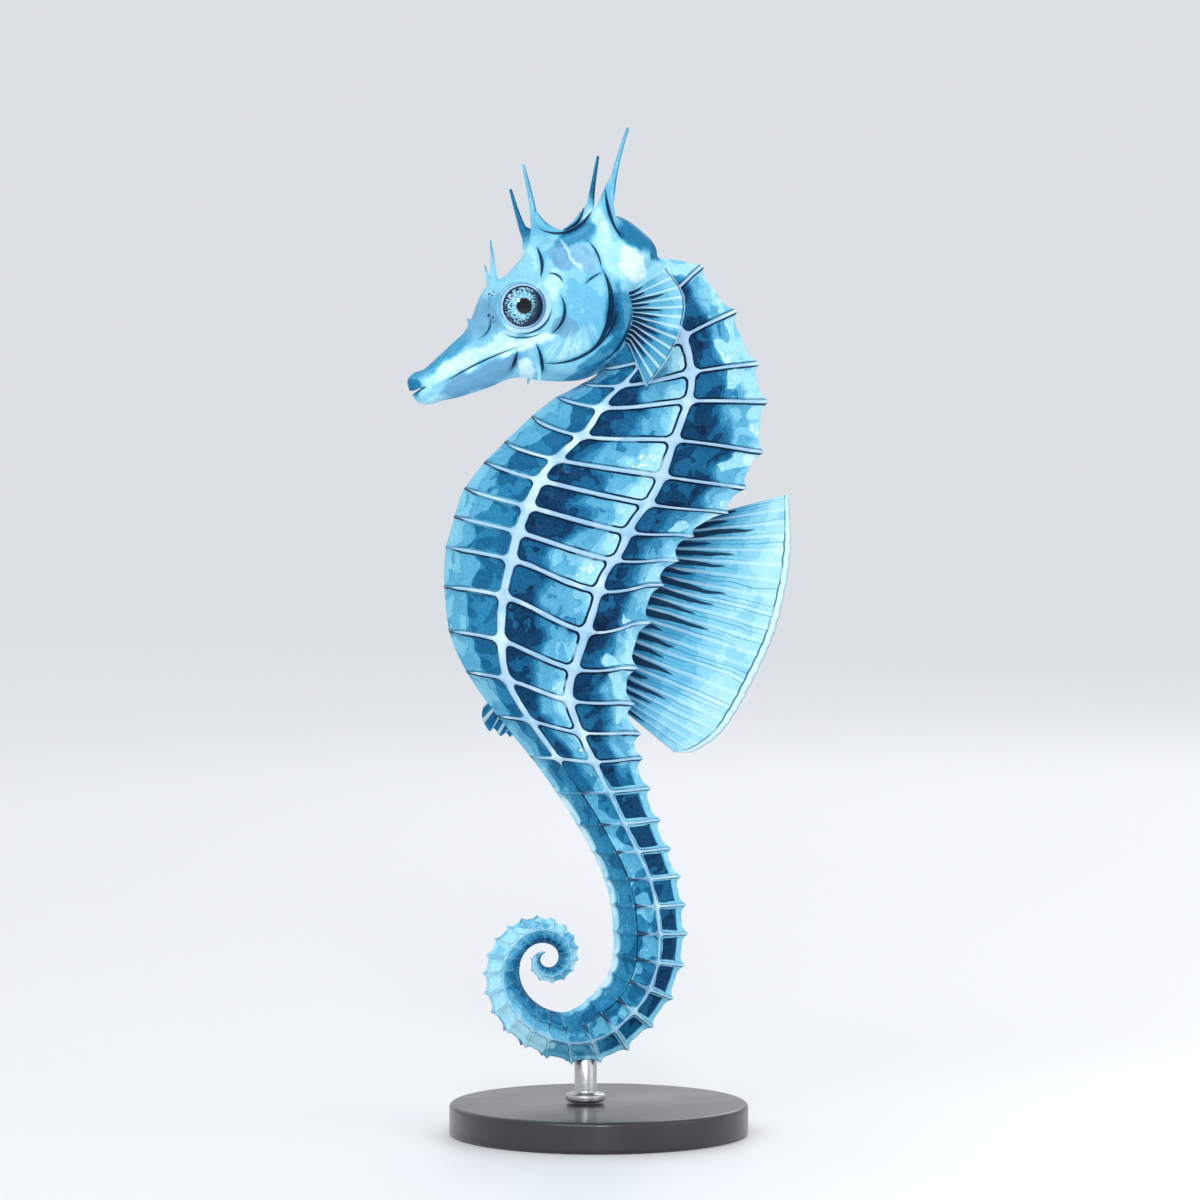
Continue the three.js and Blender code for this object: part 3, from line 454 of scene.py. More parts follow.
class SeahorseStage(bpy.types.PropertyGroup):
    """Camera and lights."""

    azimuth: FloatProperty(
        name="Camera Azimuth", description="Turn of the camera round the animal", unit="ROTATION",
        default=math.radians(-12),
    )
    elevation: FloatProperty(
        name="Camera Elevation", description="Angle of the camera above the horizon", unit="ROTATION",
        default=math.radians(2),
    )
    distance: FloatProperty(
        name="Camera Distance", description="From the camera to the animal's middle", unit="LENGTH",
        default=0.8,
    )
    lens: FloatProperty(
        name="Focal Length", description="Focal length of the camera", unit="CAMERA", default=150
    )
    key: FloatProperty(name="Key Light", description="Power of the main light", unit="POWER", default=2.6)
    fill: FloatProperty(name="Fill Light", description="Power of the side light", unit="POWER", default=1.2)
    rim: FloatProperty(name="Rim Light", description="Power of the back light", unit="POWER", default=1.6)
    glint: FloatProperty(
        name="Glint Light", description="Power of the small light that the eyes mirror", unit="POWER",
        default=2,
    )
    room: FloatProperty(name="Room Light", description="Strength of the room's even light", default=0.88)


# ---------------------------------------------------------------- lines and lofts
def smooth_line(points, places):
    """Points of a smooth line through the given ones, at places from 0 to 1."""
    points = np.asarray(points, float)
    padded = np.vstack([2 * points[0] - points[1], points, 2 * points[-1] - points[-2]])
    spans = len(points) - 1
    at = np.clip(np.asarray(places, float), 0, 1) * spans
    span = np.minimum(at.astype(int), spans - 1)
    w = (at - span)[..., None]
    before, here, there, after = (padded[span + k] for k in range(4))
    leave, arrive = (there - before) / 2, (after - here) / 2
    return (
        (2 * w**3 - 3 * w**2 + 1) * here
        + (w**3 - 2 * w**2 + w) * leave
        + (3 * w**2 - 2 * w**3) * there
        + (w**3 - w**2) * arrive
    )


def crowded(count):
    """Shares from 0 towards 1, closer together near both ends."""
    share = np.arange(count) / count
    return share - CROWDING * np.sin(2 * np.pi * share)


def smoothstep(low, high, value):
    """0 below low, 1 above high and a smooth change between."""
    share = np.clip((value - low) / (high - low), 0, 1)
    return share * share * (3 - 2 * share)


def unit(vectors):
    """Vectors of length 1 along these."""
    return vectors / np.linalg.norm(vectors, axis=-1, keepdims=True)


def full_turn(steps):
    """Angles round a circle, the first again at the end."""
    return 2 * np.pi * np.arange(steps + 1) / steps


def travelled(places, axis):
    """Distances along one axis of a grid of places, from 0."""
    strides = np.linalg.norm(np.diff(places, axis=axis), axis=-1)
    start = np.zeros_like(strides.take([0], axis))
    return np.concatenate([start, np.cumsum(strides, axis=axis)], axis=axis)


def rings_round(line, first, second, sides):
    """A grid of closed rings round a line, with two half axes at each of its places."""
    angle = full_turn(sides)[None, :, None]
    places = line + first * np.cos(angle) + second * np.sin(angle)
    places[:, -1] = places[:, 0]
    return places


def loft(places, uv_maps=()):
    """A grid bent to places[row, column], in millimetres, its edges that meet joined and its ends closed."""
    rows, columns = places.shape[0] - 1, places.shape[1] - 1
    bm = bmesh.new()
    bmesh.ops.create_grid(bm, x_segments=columns, y_segments=rows, size=1)
    layers = [bm.loops.layers.uv.new(name) for name, _ in uv_maps]
    spots = {}
    for vert in bm.verts:
        column = round((vert.co.x + 1) / 2 * columns)
        row = round((vert.co.y + 1) / 2 * rows)
        spots[vert.index] = (row, column)
        vert.co = places[row, column] * MM
    for face in bm.faces if layers else ():
        for corner in face.loops:
            row, column = spots[corner.vert.index]
            for layer, (_, values) in zip(layers, uv_maps):
                corner[layer].uv = values[row, column]
    bmesh.ops.remove_doubles(bm, verts=bm.verts, dist=MERGE)
    open_edges = [edge for edge in bm.edges if edge.is_boundary]
    if open_edges:
        caps = bmesh.ops.holes_fill(bm, edges=open_edges, sides=0)["faces"]
        bmesh.ops.poke(bm, faces=caps)
    bmesh.ops.recalc_face_normals(bm, faces=bm.faces)
    return bm


def turned(profile, centre, steps, merge=MERGE):
    """A surface of revolution round a vertical axis, from its profile of radius and height in millimetres."""
    bm = bmesh.new()
    verts = [bm.verts.new(((centre + radius) * MM, 0, height * MM)) for radius, height in profile]
    edges = [bm.edges.new(pair) for pair in zip(verts, verts[1:])]
    bmesh.ops.spin(
        bm, geom=verts + edges, cent=(centre * MM, 0, 0), axis=(0, 0, 1), dvec=(0, 0, 0),
        angle=2 * math.pi, steps=steps, use_merge=True, use_duplicate=False,
    )
    bmesh.ops.remove_doubles(bm, verts=bm.verts, dist=merge)
    bmesh.ops.recalc_face_normals(bm, faces=bm.faces)
    return bm


def as_mesh(bm, name):
    """A mesh from a bmesh, which goes."""
    mesh = bpy.data.meshes.new(name)
    bm.to_mesh(mesh)
    bm.free()
    return mesh


def together(parts, name):
    """Several bmeshes as one mesh."""
    whole = bmesh.new()
    for part in parts:
        piece_mesh = as_mesh(part, name + "_part")
        whole.from_mesh(piece_mesh)
        bpy.data.meshes.remove(piece_mesh)
    return as_mesh(whole, name)


def placed(name, data):
    """A new object in the scene."""
    thing = bpy.data.objects.new(name, data)
    bpy.context.scene.collection.objects.link(thing)
    return thing


def applied(thing):
    """The mesh of an object with its modifiers applied. The object goes."""
    depsgraph = bpy.context.evaluated_depsgraph_get()
    mesh = bpy.data.meshes.new_from_object(thing.evaluated_get(depsgraph))
    bpy.data.objects.remove(thing)
    return mesh


def remeshed(mesh, voxel):
    """One closed skin round everything in a mesh."""
    thing = placed("scratch", mesh)
    grain = thing.modifiers.new("grain", "REMESH")
    grain.mode = "VOXEL"
    grain.voxel_size = voxel
    return applied(thing)


def combined(mesh, other, operation):
    """The union of two closed meshes, or the first less the other."""
    thing, tool = placed("scratch", mesh), placed("tool", other)
    join = thing.modifiers.new("join", "BOOLEAN")
    join.operation = operation
    join.solver = "MANIFOLD"
    join.object = tool
    result = applied(thing)
    bpy.data.objects.remove(tool)
    return result


def smoothed(mesh, passes, centres=(), radius=0.0):
    """Relaxes a mesh, or only its parts near the centres, less and less out to radius, in millimetres."""
    bm = bmesh.new()
    bm.from_mesh(mesh)
    weight = np.ones(len(bm.verts))
    if len(centres):
        at = np.array([vert.co[:] for vert in bm.verts]) / MM
        away = np.min([np.linalg.norm(at - centre, axis=1) for centre in centres], axis=0)
        weight = np.clip(1 - away / radius, 0, 1)
    for number in range(passes):
        chosen = [vert for vert, share in zip(bm.verts, weight) if share > number / passes]
        bmesh.ops.smooth_vert(bm, verts=chosen, factor=0.5, use_axis_x=True, use_axis_y=True, use_axis_z=True)
    bm.to_mesh(mesh)
    bm.free()
    return mesh


def painted(mesh, materials, number=0):
    """Gives a mesh these materials and all of its faces the one of that number."""
    mesh.materials.clear()
    for material in materials:
        mesh.materials.append(material)
    mesh.polygons.foreach_set("material_index", [number] * len(mesh.polygons))
    return mesh


def smooth_shaded(mesh):
    mesh.polygons.foreach_set("use_smooth", [True] * len(mesh.polygons))
    return mesh


def piece(name, mesh, replaced):
    """A finished piece: smooth, riding on the body and standing for the nodes that it replaces."""
    thing = placed(name, smooth_shaded(mesh))
    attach(thing, BODY)
    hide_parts(*replaced)


# ---------------------------------------------------------------- finishes
class Signal:
    """A value that nodes work out. Arithmetic on it adds Math nodes."""

    def __init__(self, paint, socket):
        self.paint, self.socket = paint, socket

    def __add__(self, other):
        return self.paint.calc("ADD", self, other)

    def __mul__(self, other):
        return self.paint.calc("MULTIPLY", self, other)

    __radd__, __rmul__ = __add__, __mul__

    def __sub__(self, other):
        return self.paint.calc("SUBTRACT", self, other)

    def __rsub__(self, other):
        return self.paint.calc("SUBTRACT", other, self)

    def __truediv__(self, other):
        return self.paint.calc("DIVIDE", self, other)

    def __pow__(self, other):
        return self.paint.calc("POWER", self, other)

    def __abs__(self):
        return self.paint.calc("ABSOLUTE", self)


class Paint:
    """Writes the nodes of one material."""

    def __init__(self, name, colours=None):
        self.colours = colours
        self.material = bpy.data.materials.new(name)
        self.material.use_nodes = True
        self.tree = self.material.node_tree
        self.shader = self.tree.nodes["Principled BSDF"]
        self.coordinates = self.node("TexCoord", output="Object")

    def put(self, socket, value):
        """Gives a socket a signal, a plain value or the colour of this name."""
        if isinstance(value, Signal):
            self.tree.links.new(value.socket, socket)
        elif isinstance(value, str):
            socket.default_value = self.colour(value)
        else:
            socket.default_value = value

    def colour(self, name):
        return (*getattr(self.colours, name), 1)

    def node(self, kind, inputs=(), output=0, **settings):
        """Adds a node with these inputs, by name or number, and gives one of its outputs."""
        made = self.tree.nodes.new("ShaderNode" + kind)
        for key, value in settings.items():
            setattr(made, key, value)
        for key, value in dict(inputs).items():
            self.put(made.inputs[key], value)
        return Signal(self, made.outputs[output])

    def calc(self, operation, *values, clamp=False):
        """What a Math node gives."""
        return self.node("Math", enumerate(values), operation=operation, use_clamp=clamp)

    def vector(self, operation, *values, output="Vector"):
        """What a Vector Math node gives."""
        return self.node("VectorMath", enumerate(values), output, operation=operation)

    def dot(self, vector, axis):
        return self.vector("DOT_PRODUCT", vector, axis, output="Value")

    def hypot(self, one, other):
        return self.calc("SQRT", one * one + other * other)

    def same(self, value, number):
        """1 where a value is this whole number, else 0."""
        return self.calc("COMPARE", value, number, 0.1)

    def floor(self, value):
        return self.calc("FLOOR", value)

    def part(self, value):
        """What a value has past its whole number."""
        return self.calc("FRACT", value)

    def larger(self, one, other):
        return self.calc("MAXIMUM", one, other)

    def span(self, value, low, high, start=0.0, end=1.0):
        """start below low, end above high and a smooth change between."""
        values = enumerate((value, low, high, start, end))
        return self.node("MapRange", values, "Result", interpolation_type="SMOOTHSTEP")

    def band(self, value, middle, half, soft):
        """1 within half of the middle, fading out over soft."""
        return self.span(abs(value - middle), half, half + soft, 1.0, 0.0)

    def mix(self, share, first, second):
        """A colour between two."""
        return self.node("Mix", {0: share, 6: first, 7: second}, 2, data_type="RGBA", clamp_factor=True)

    def choose(self, share, first, second):
        """A number between two."""
        return self.node("Mix", {0: share, 2: first, 3: second}, data_type="FLOAT", clamp_factor=True)

    def noise(self, scale, detail=2.0, distortion=0.0, at=None):
        """Soft noise from 0 to 1, in the object's coordinates or at other places."""
        values = {"Scale": scale, "Detail": detail, "Distortion": distortion}
        return self.node("TexNoise", {"Vector": at or self.coordinates, **values}, "Fac")

    def wobble(self, scale, amount, detail=2.0, distortion=0.0):
        """Noise round 0, about amount from its lowest to its highest."""
        return (self.noise(scale, detail, distortion) - 0.5) * (1.6 * amount)

    def dots(self, scale, size):
        """1 in small round spots, one in each cell of a loose pattern."""
        away = self.node("TexVoronoi", {"Vector": self.coordinates, "Scale": scale}, "Distance")
        return self.span(away, size, size + 0.07, 1.0, 0.0)

    def random(self, *place):
        """A chance number from 0 to 1 for each place."""
        return self.node("TexWhiteNoise", {"Vector": self.join(*place)}, "Value", noise_dimensions="3D")

    def join(self, *values):
        return self.node("CombineXYZ", enumerate(values))

    def split(self, vector):
        made = self.node("SeparateXYZ", {0: vector}).socket.node
        return [Signal(self, socket) for socket in made.outputs]

    def uv(self, name):
        """The two values of a UV map."""
        return self.split(self.node("UVMap", uv_map=name))[:2]

    def washed(self, tone, layers, hold, rim):
        """A tone laid in flat layers, each darker along the edge where it dried over the last."""
        steps = tone * layers
        layer = (self.floor(steps) + 0.5) / layers
        return self.choose(hold, tone, layer) - self.span(self.part(steps), 0.82, 0.98, 0.0, rim)

    def toned(self, tone):
        """The colour of a tone, from ink at 0 to white at 1."""
        colour = self.node("ValToRGB", {0: tone})
        elements = colour.socket.node.color_ramp.elements
        while len(elements) < len(TONES):
            elements.new(0.5)
        for element, (name, position) in zip(elements, TONES.items()):
            element.position, element.color = position, self.colour(name)
        return colour

    def bump(self, height, strength, distance):
        made = self.node("Bump", {"Height": height, "Strength": strength, "Distance": distance})
        self.put(self.shader.inputs["Normal"], made)

    def finish(self, colour, roughness, gloss=()):
        """Sets the shader's sockets, those of gloss by name, and gives the material."""
        for name, value in {"Base Color": colour, "Roughness": roughness, **dict(gloss)}.items():
            self.put(self.shader.inputs[name], value)
        return self.material


def arc_through(first, middle, last):
    """Centre, radius and the two axes of an arc, with its middle angle and half its sweep seen in them."""
    (ax, ay), (bx, by), (cx, cy) = first, middle, last
    d = 2 * (ax * (by - cy) + bx * (cy - ay) + cx * (ay - by))
    a2, b2, c2 = ax * ax + ay * ay, bx * bx + by * by, cx * cx + cy * cy
    ux = (a2 * (by - cy) + b2 * (cy - ay) + c2 * (ay - by)) / d
    uy = (a2 * (cx - bx) + b2 * (ax - cx) + c2 * (bx - ax)) / d
    radius = math.hypot(ax - ux, ay - uy)
    main = ((bx - ux) / radius, (by - uy) / radius)
    side = (-main[1], main[0])
    start, end = (
        math.atan2((x - ux) * side[0] + (y - uy) * side[1], (x - ux) * main[0] + (y - uy) * main[1])
        for x, y in (first, last)
    )
    return (ux, uy), radius, main, side, (start + end) / 2, (end - start) / 2


def fold_shares(fold, t, n):
    """How deep inside a fold each place t, n lies, from 0 at its edge to 1 in its middle."""
    centre, radius, main, side, middle, half = arc_through(*fold[:3])
    along = (t - centre[0]) * main[0] + (n - centre[1]) * main[1]
    across = (t - centre[0]) * side[0] + (n - centre[1]) * side[1]
    share = (np.arctan2(across, along) - middle) / half
    width = max(fold[3] * FOLD_WIDENING, NARROWEST_FOLD) * np.sqrt(np.clip(1 - share**2, 0, 1)) + 1e-6
    return np.clip(1 - np.abs(np.hypot(along, across) - radius) / width, 0, 1)


def drawn_fold(paint, fold, place):
    """The inked line of a fold and the painted shade round it."""
    centre, radius, main, side, middle, half = arc_through(*fold[:3])
    away = paint.vector("SUBTRACT", place, (*centre, 0))
    turn = paint.calc("ARCTAN2", paint.dot(away, (*side, 0)), paint.dot(away, (*main, 0)))
    share = (turn - middle) / half
    room = paint.calc("SUBTRACT", 1.0, share * share, clamp=True)
    off = abs(paint.vector("LENGTH", away, output="Value") - radius)
    line = paint.span(room * (1.25 * fold[3]) - off, 0.0, 0.08)
    return line, paint.span(off, 0.0, 4 * fold[3], 1.0, 0.0) * room**0.5


def head_coordinates(paint):
    """t, n and y of the head in millimetres."""
    tip = (SNOUT_TIP[0] * MM, 0, (SNOUT_TIP[1] + LOWEST_SCUTE) * MM)
    away = paint.vector("MULTIPLY", paint.vector("SUBTRACT", paint.coordinates, tip), (1 / MM,) * 3)
    t = paint.dot(away, (HEAD_COS, 0, HEAD_SIN))
    n = paint.dot(away, (-HEAD_SIN, 0, HEAD_COS))
    return t, n, paint.split(away)[1]


def wash_mask(paint, place, wash):
    """1 inside a wash, fading to 0 at its edge."""
    t, n, long, wide, turn, soft = wash[:6]
    c, s = math.cos(math.radians(turn)), math.sin(math.radians(turn))
    away = paint.vector("SUBTRACT", place, (t, n, 0))
    reach = paint.hypot(paint.dot(away, (c / long, s / long, 0)), paint.dot(away, (-s / wide, c / wide, 0)))
    return paint.span(reach, 1 - soft, 1 + soft, 1.0, 0.0)


def head_finish(colours, name):
    """The washes, folds and fine spots of the head. The horns take the same, so that no seam shows."""
    paint = Paint(name, colours)
    span, band, noise, wobble, mix = paint.span, paint.band, paint.noise, paint.wobble, paint.mix
    t, n, y = head_coordinates(paint)
    place = paint.join(t, n, 0.0)
    uneven = paint.join(t + wobble(330, 2.2, 3), n + wobble(290, 2.2, 3), 0.0)
    facing = paint.split(paint.node("NewGeometry", output="Normal"))

    # Washes, darker on the horns, with painted shade on their backs and inner sides
    on_horn = span(n, *HORN_FOOT)
    tone = 0.72 + wobble(180, 0.2) - on_horn * 0.12 - on_horn * span(facing[0], 0.1, 0.7) * 0.3
    grey = 0.0
    for wash_name, wash in HEAD_WASHES.items():
        mask = wash_mask(paint, uneven, wash)
        tone = paint.choose(mask, tone, wash[-1])
        if wash_name in GREY_WASHES:
            grey = paint.larger(grey, mask)
    inward = facing[1] * paint.calc("SIGN", y)
    tone -= on_horn * span(inward, 0.0, -0.6) * 0.34

    # Streaks that fan out on the gill cover and run along the snout
    turn = paint.calc("ARCTAN2", n - FAN_CENTRE[1], t - FAN_CENTRE[0])
    fan = noise(14, 2, at=paint.join(turn, t * 0.004, 0.0)) - 0.5
    lengthways = noise(26, 2, at=paint.join(t * 0.006, n * 0.03, y)) - 0.5
    tone = tone + wobble(520, 0.13, 3) + fan * wash_mask(paint, uneven, GILL_FAN) * 0.5
    tone += lengthways * span(t, 15.0, 20.0, 0.25, 0.0)

    # Folds, each an inked line with painted shade round it, which stay off the middle of the head
    off_middle = span(abs(y), 1.5, 3.0)
    lines = 0.0
    for fold_name, fold in FOLDS.items():
        line, shade = drawn_fold(paint, fold, place)
        if fold_name not in ALL_ROUND_FOLDS:
            line, shade = line * off_middle, shade * off_middle
        lines = paint.larger(lines, line)
        tone -= shade * 0.16
    colour = paint.toned(paint.washed(tone, 8, 0.35, 0.03) + wobble(PAPER_GRAIN, 0.07, 1))
    colour = mix(grey * 0.4, colour, "grey")

    # White spots, the lower lid and dark specks before the eye
    spotted = paint.larger(*(wash_mask(paint, uneven, spots) for spots in WHITE_SPOTS))
    colour = mix(spotted * paint.dots(1500, 0.2), colour, "white")
    eye_t, _, eye_n = EYE[0]
    off_eye = paint.vector("SUBTRACT", place, (eye_t, eye_n, 0))
    from_eye = paint.vector("LENGTH", off_eye, output="Value")
    lid = band(from_eye, 3.9, 0.25, 0.12) * span(paint.dot(off_eye, LID_SIDE), 0.4, 2.0)
    colour = mix(lid * 0.8, colour, "bar")
    specks = band(from_eye, 5.0, 0.3, 0.1) * paint.dots(1250, 0.25)
    specks = specks * span(t, eye_t - 2.2, eye_t - 2.8) * span(n, eye_n - 1.5, eye_n - 0.5)
    colour = mix(specks, colour, "ink")
    colour = mix(lines * 0.94, colour, "ink")
    paint.bump(noise(SKIN_PORES, 3), 0.12, BUMP_DEPTH)
    return paint.finish(colour, 0.5, SKIN_GLOSS)


def plate_finish(colours):
    """Panels washed from navy to pale between lavender bars with ink along them."""
    paint = Paint("plate_skin", colours)
    span, band, choose, mix, same = paint.span, paint.band, paint.choose, paint.mix, paint.same
    noise, wobble, larger = paint.noise, paint.wobble, paint.larger
    ring, ridge = paint.uv("rings")
    ring_gap, ridge_gap = paint.uv("gaps")
    mirrored = paint.calc("MINIMUM", ridge, len(PANEL_COLUMNS) - ridge)
    up, down = paint.part(mirrored), paint.part(ring)
    belly, flank, top = (same(paint.floor(mirrored), panel) for panel in (0, 1, 3))
    lower, side = (same(paint.floor(mirrored + 0.5), ridge_number) for ridge_number in (1, 2))
    tail, curl = span(ring, *TAIL_RINGS), span(ring, *CURL_RINGS)
    back_half = span(mirrored, 1.9, 2.1)

    # Bars: how far a place lies inside a panel with rounded corners, 0 at the edge of the bars.
    ridge_bar = choose(lower, NO_BAR, choose(tail, span(ring, 1.5, 6.0, 0.3, 0.62), NO_BAR))
    ridge_bar = choose(side, ridge_bar, choose(tail, 0.6, 0.3)) + wobble(260, 0.3)
    ring_bar = choose(belly, choose(flank, 0.24, 0.36), span(up, 0.1, 0.5, 0.0, 0.26)) + wobble(420, 0.16)
    rows = larger(ring_bar + PANEL_ROUNDING - ring_gap, 0.0)
    columns = larger(ridge_bar + PANEL_ROUNDING - ridge_gap, 0.0)
    edge = PANEL_ROUNDING - paint.hypot(rows, columns)

    # Washes of the panels, first in the trunk, then in the tail and its curl
    def by_panel(on_belly, on_flank, on_back, on_top):
        """The value of the panel that a place lies in, counted from the keel up."""
        return choose(belly, choose(top, choose(flank, on_back, on_flank), on_top), on_belly)

    own = paint.random(paint.floor(ring), paint.floor(ridge), 0.0) - 0.5
    # In the trunk each flank and back panel runs from dark on its lower side to pale on its upper side: partly
    # the animal's own colour, partly painted shade in the plate's hollow.
    place = up + wobble(200, 0.36, 1.2, 0.3) + own * 0.24
    blotch = span(place, 0.52, 0.56) * span(edge, 0.25, 0.35)
    bare = span(noise(170, 1.2, 0.5), 0.56, 0.58) * span(place, 0.5, 0.54) * span(edge, 0.3, 0.4)
    on_back = span(place, 0.3, 0.66, 0.15, 0.58) + span(place, 0.7, 1.0, 0.0, 0.22)
    on_back += span(noise(210, 1.2, 0.5), 0.46, 0.49, 0.0, 0.09)
    in_trunk = by_panel(
        on_belly=choose(blotch, span(up, 0.0, 0.6, 0.68, 0.58), 0.36),
        on_flank=span(place, 0.3, 0.56, 0.2, 0.6) + span(place, 0.66, 0.9, 0.0, 0.3),
        on_back=choose(bare, on_back, 0.9),
        on_top=0.6,
    )
    patches = wobble(240, 1.0, 1.2)
    dark_middle = span(edge + wobble(300, 0.9, 1.2), 0.56, 0.68) * span(up, 0.72, 0.86, 1.0, 0.0)
    in_tail = by_panel(
        on_belly=span(up, 0.16, 0.34, 0.95, 0.48) + span(up, 0.34, 0.95, 0.0, -0.12),
        on_flank=choose(span(patches, 0.0, 0.04), 0.64, 0.38),
        on_back=choose(dark_middle, 0.76, 0.2),
        on_top=0.74,
    )
    curl_side = span(mirrored + wobble(160, 0.5), 0.7, 2.0, 0.3, 0.58)
    curl_back = choose(span(patches, 0.08, 0.12), 0.82, 0.6)
    in_tail = choose(curl, in_tail, choose(back_half, curl_side, curl_back))
    tone = choose(tail, in_trunk, in_tail) - choose(curl, 0.06, 0.02)
    tone = tone + wobble(620, 0.07, 2) + wobble(150, 0.14, 1.2)
    tone -= span(noise(260, 1.0, 0.6), 0.53, 0.55) * 0.08
    colour = paint.toned(paint.washed(tone, 7, 0.5, 0.07) + wobble(PAPER_GRAIN, 0.11, 1))

    # White spots near the side ridge, and the bars
    by_ridge = flank * band(up, 0.8, 0.06, 0.06) * band(down, 0.62, 0.16, 0.1) * span(own, -0.1, 0.0)
    colour = mix(by_ridge * (1.0 - tail) * paint.dots(1050, 0.26), colour, "white")
    on_tail = choose(back_half, span(mirrored, 0.9, 1.0, 0.0, 0.35), 0.85)
    on_tail = choose(curl, on_tail, span(mirrored, 1.9, 2.1, 0.12, 0.5))
    fading = choose(tail, span(ridge_gap, 0.8, 1.8, 1.0, 0.86), on_tail)
    worn = mix(span(noise(420, 3), 0.4, 0.7, 0.0, 0.45), "bar", "sky")
    worn = mix(span(noise(160, 2), 0.5, 0.64, 0.0, 0.6), worn, "white")
    colour = mix(span(edge, -0.06, 0.06, 1.0, 0.0) * fading, colour, worn)

    # Ink beside the bars, and on the tail short strokes along the rings and a line along the lower ridge
    broken = span(noise(210, 2), 0.36, 0.48, 0.35, 1.0)
    heavy = span(down, 0.2, 0.4, 1.0, 0.6) + band(mirrored, 2.0, 0.3, 0.2) * 0.5
    ink_on_tail = choose(curl, choose(back_half, 0.15, 0.6), choose(back_half, 0.0, 0.4))
    ink = band(edge, 0.15, 0.11, 0.12) * broken * heavy * choose(tail, 1.0, ink_on_tail)
    taper = paint.calc("SUBTRACT", 0.75 + wobble(300, 0.6) + own * 0.3, up, clamp=True)
    ring_strokes = span(taper - ring_gap, 0.0, 0.12) * flank * tail
    ring_strokes = ring_strokes * choose(curl, 0.9, span(ring, 28.0, 33.0, 0.7, 0.0))
    side_line = span(ridge_gap + wobble(300, 0.3), 0.12, 0.26, 0.85, 0.0) * lower * tail * (1.0 - curl)
    ink = larger(ink, larger(ring_strokes, side_line))
    colour = mix(ink * 0.95, colour, "ink")
    paint.bump(noise(SKIN_PORES, 3), 0.15, BUMP_DEPTH)
    return paint.finish(colour, 0.5, SKIN_GLOSS)


def strokes(paint, line, reach, width, shortest, longest, seed):
    """Tapering strokes from the root, one for each whole number of line, of a chance length."""
    length = paint.random(paint.floor(line), seed, 0.0) * (longest - shortest) + shortest
    left = paint.calc("SUBTRACT", 1.0, reach / length, clamp=True)
    return paint.span(left**0.5 * width - abs(paint.part(line) - 0.5), 0.0, 0.08)


def fin_finish(colours, name, fin):
    """Pale rays and membrane, with dark strokes beside the rays and an inked line inside the rim."""
    paint = Paint(name, colours)
    span, noise, wobble, mix = paint.span, paint.noise, paint.wobble, paint.mix
    ray, reach = paint.uv("rays")
    tone = span(reach, -0.1, 0.9, *fin["tones"]) + wobble(150, 0.3, 3, 0.4) + wobble(500, 0.1)
    tone += span(ray + wobble(330, 3.0), 5.6, 6.6, 0.0, -fin["lower_shade"])
    colour = paint.toned(paint.washed(tone, 8, 0.4, 0.04))
    drifting = ray + wobble(140, 0.5)
    fine = strokes(paint, drifting * 3.0, reach, 0.2, 0.3, 1.3, seed=5.0)
    colour = mix(fine * 0.8, colour, "teal")
    off_ray = abs(paint.part(ray + 0.5) - 0.5)
    colour = mix(span(off_ray, 0.08, 0.18, 1.0, 0.0) * fin["ray_light"], colour, "white")
    bold = strokes(paint, drifting + 0.1, reach, fin["stroke"], 0.16, 0.66, seed=3.0)
    colour = mix(bold * 0.93, colour, "ink")
    line_at, half = fin["line"]
    off_line = abs(reach - (wobble(160, 0.016) + line_at))
    inked = span(off_line, half, 3 * half, 1.0, 0.0) * span(noise(200, 2), 0.4, 0.5, 0.35, 0.9)
    colour = mix(span(reach, line_at, line_at + 0.02, 0.0, 0.6), colour, "white")
    colour = mix(inked, colour, "navy")
    paint.bump(noise(1500, 2), 0.1, BUMP_DEPTH)
    return paint.finish(colour, 0.48, SKIN_GLOSS)


def eye_finish(colours):
    """A black pupil in a pale iris with dark streaks and painted shade towards its lower right, under a wet
    coat.
    """
    paint = Paint("eye", colours)
    span, noise, mix = paint.span, paint.noise, paint.mix
    t, n, _ = head_coordinates(paint)
    dt, dn = t - EYE[0][0], n - EYE[0][2]
    away, turn = paint.hypot(dt, dn), paint.calc("ARCTAN2", dn, dt)
    streak = noise(9, 3, at=paint.join(turn * 2.2, away * 0.1, 1.0)) - 0.5
    # Painted shade: the iris is darker, with more dark marks, towards its lower right.
    shade = span(dt - dn, 0.0, 4.0, 0.0, 0.26)
    colour = paint.toned(0.68 + streak * 1.6 - shade)
    marks = noise(9, 2, at=paint.join(turn * 1.1, away * 0.3, 2.0))
    marks = marks + span(away, 1.4, IRIS - 0.1, -0.14, 0.05) + shade
    colour = mix(span(marks, 0.48, 0.53), colour, "ink")
    colour = mix(paint.band(away, IRIS, 0.07, 0.1), colour, "ink")
    colour = mix(span(away, IRIS + 0.12, IRIS + 0.24), colour, "bar")
    colour = mix(span(away + streak * 0.9, PUPIL, PUPIL + 0.1, 1.0, 0.0), colour, PUPIL_BLACK)
    return paint.finish(colour, 0.3, EYE_GLOSS)


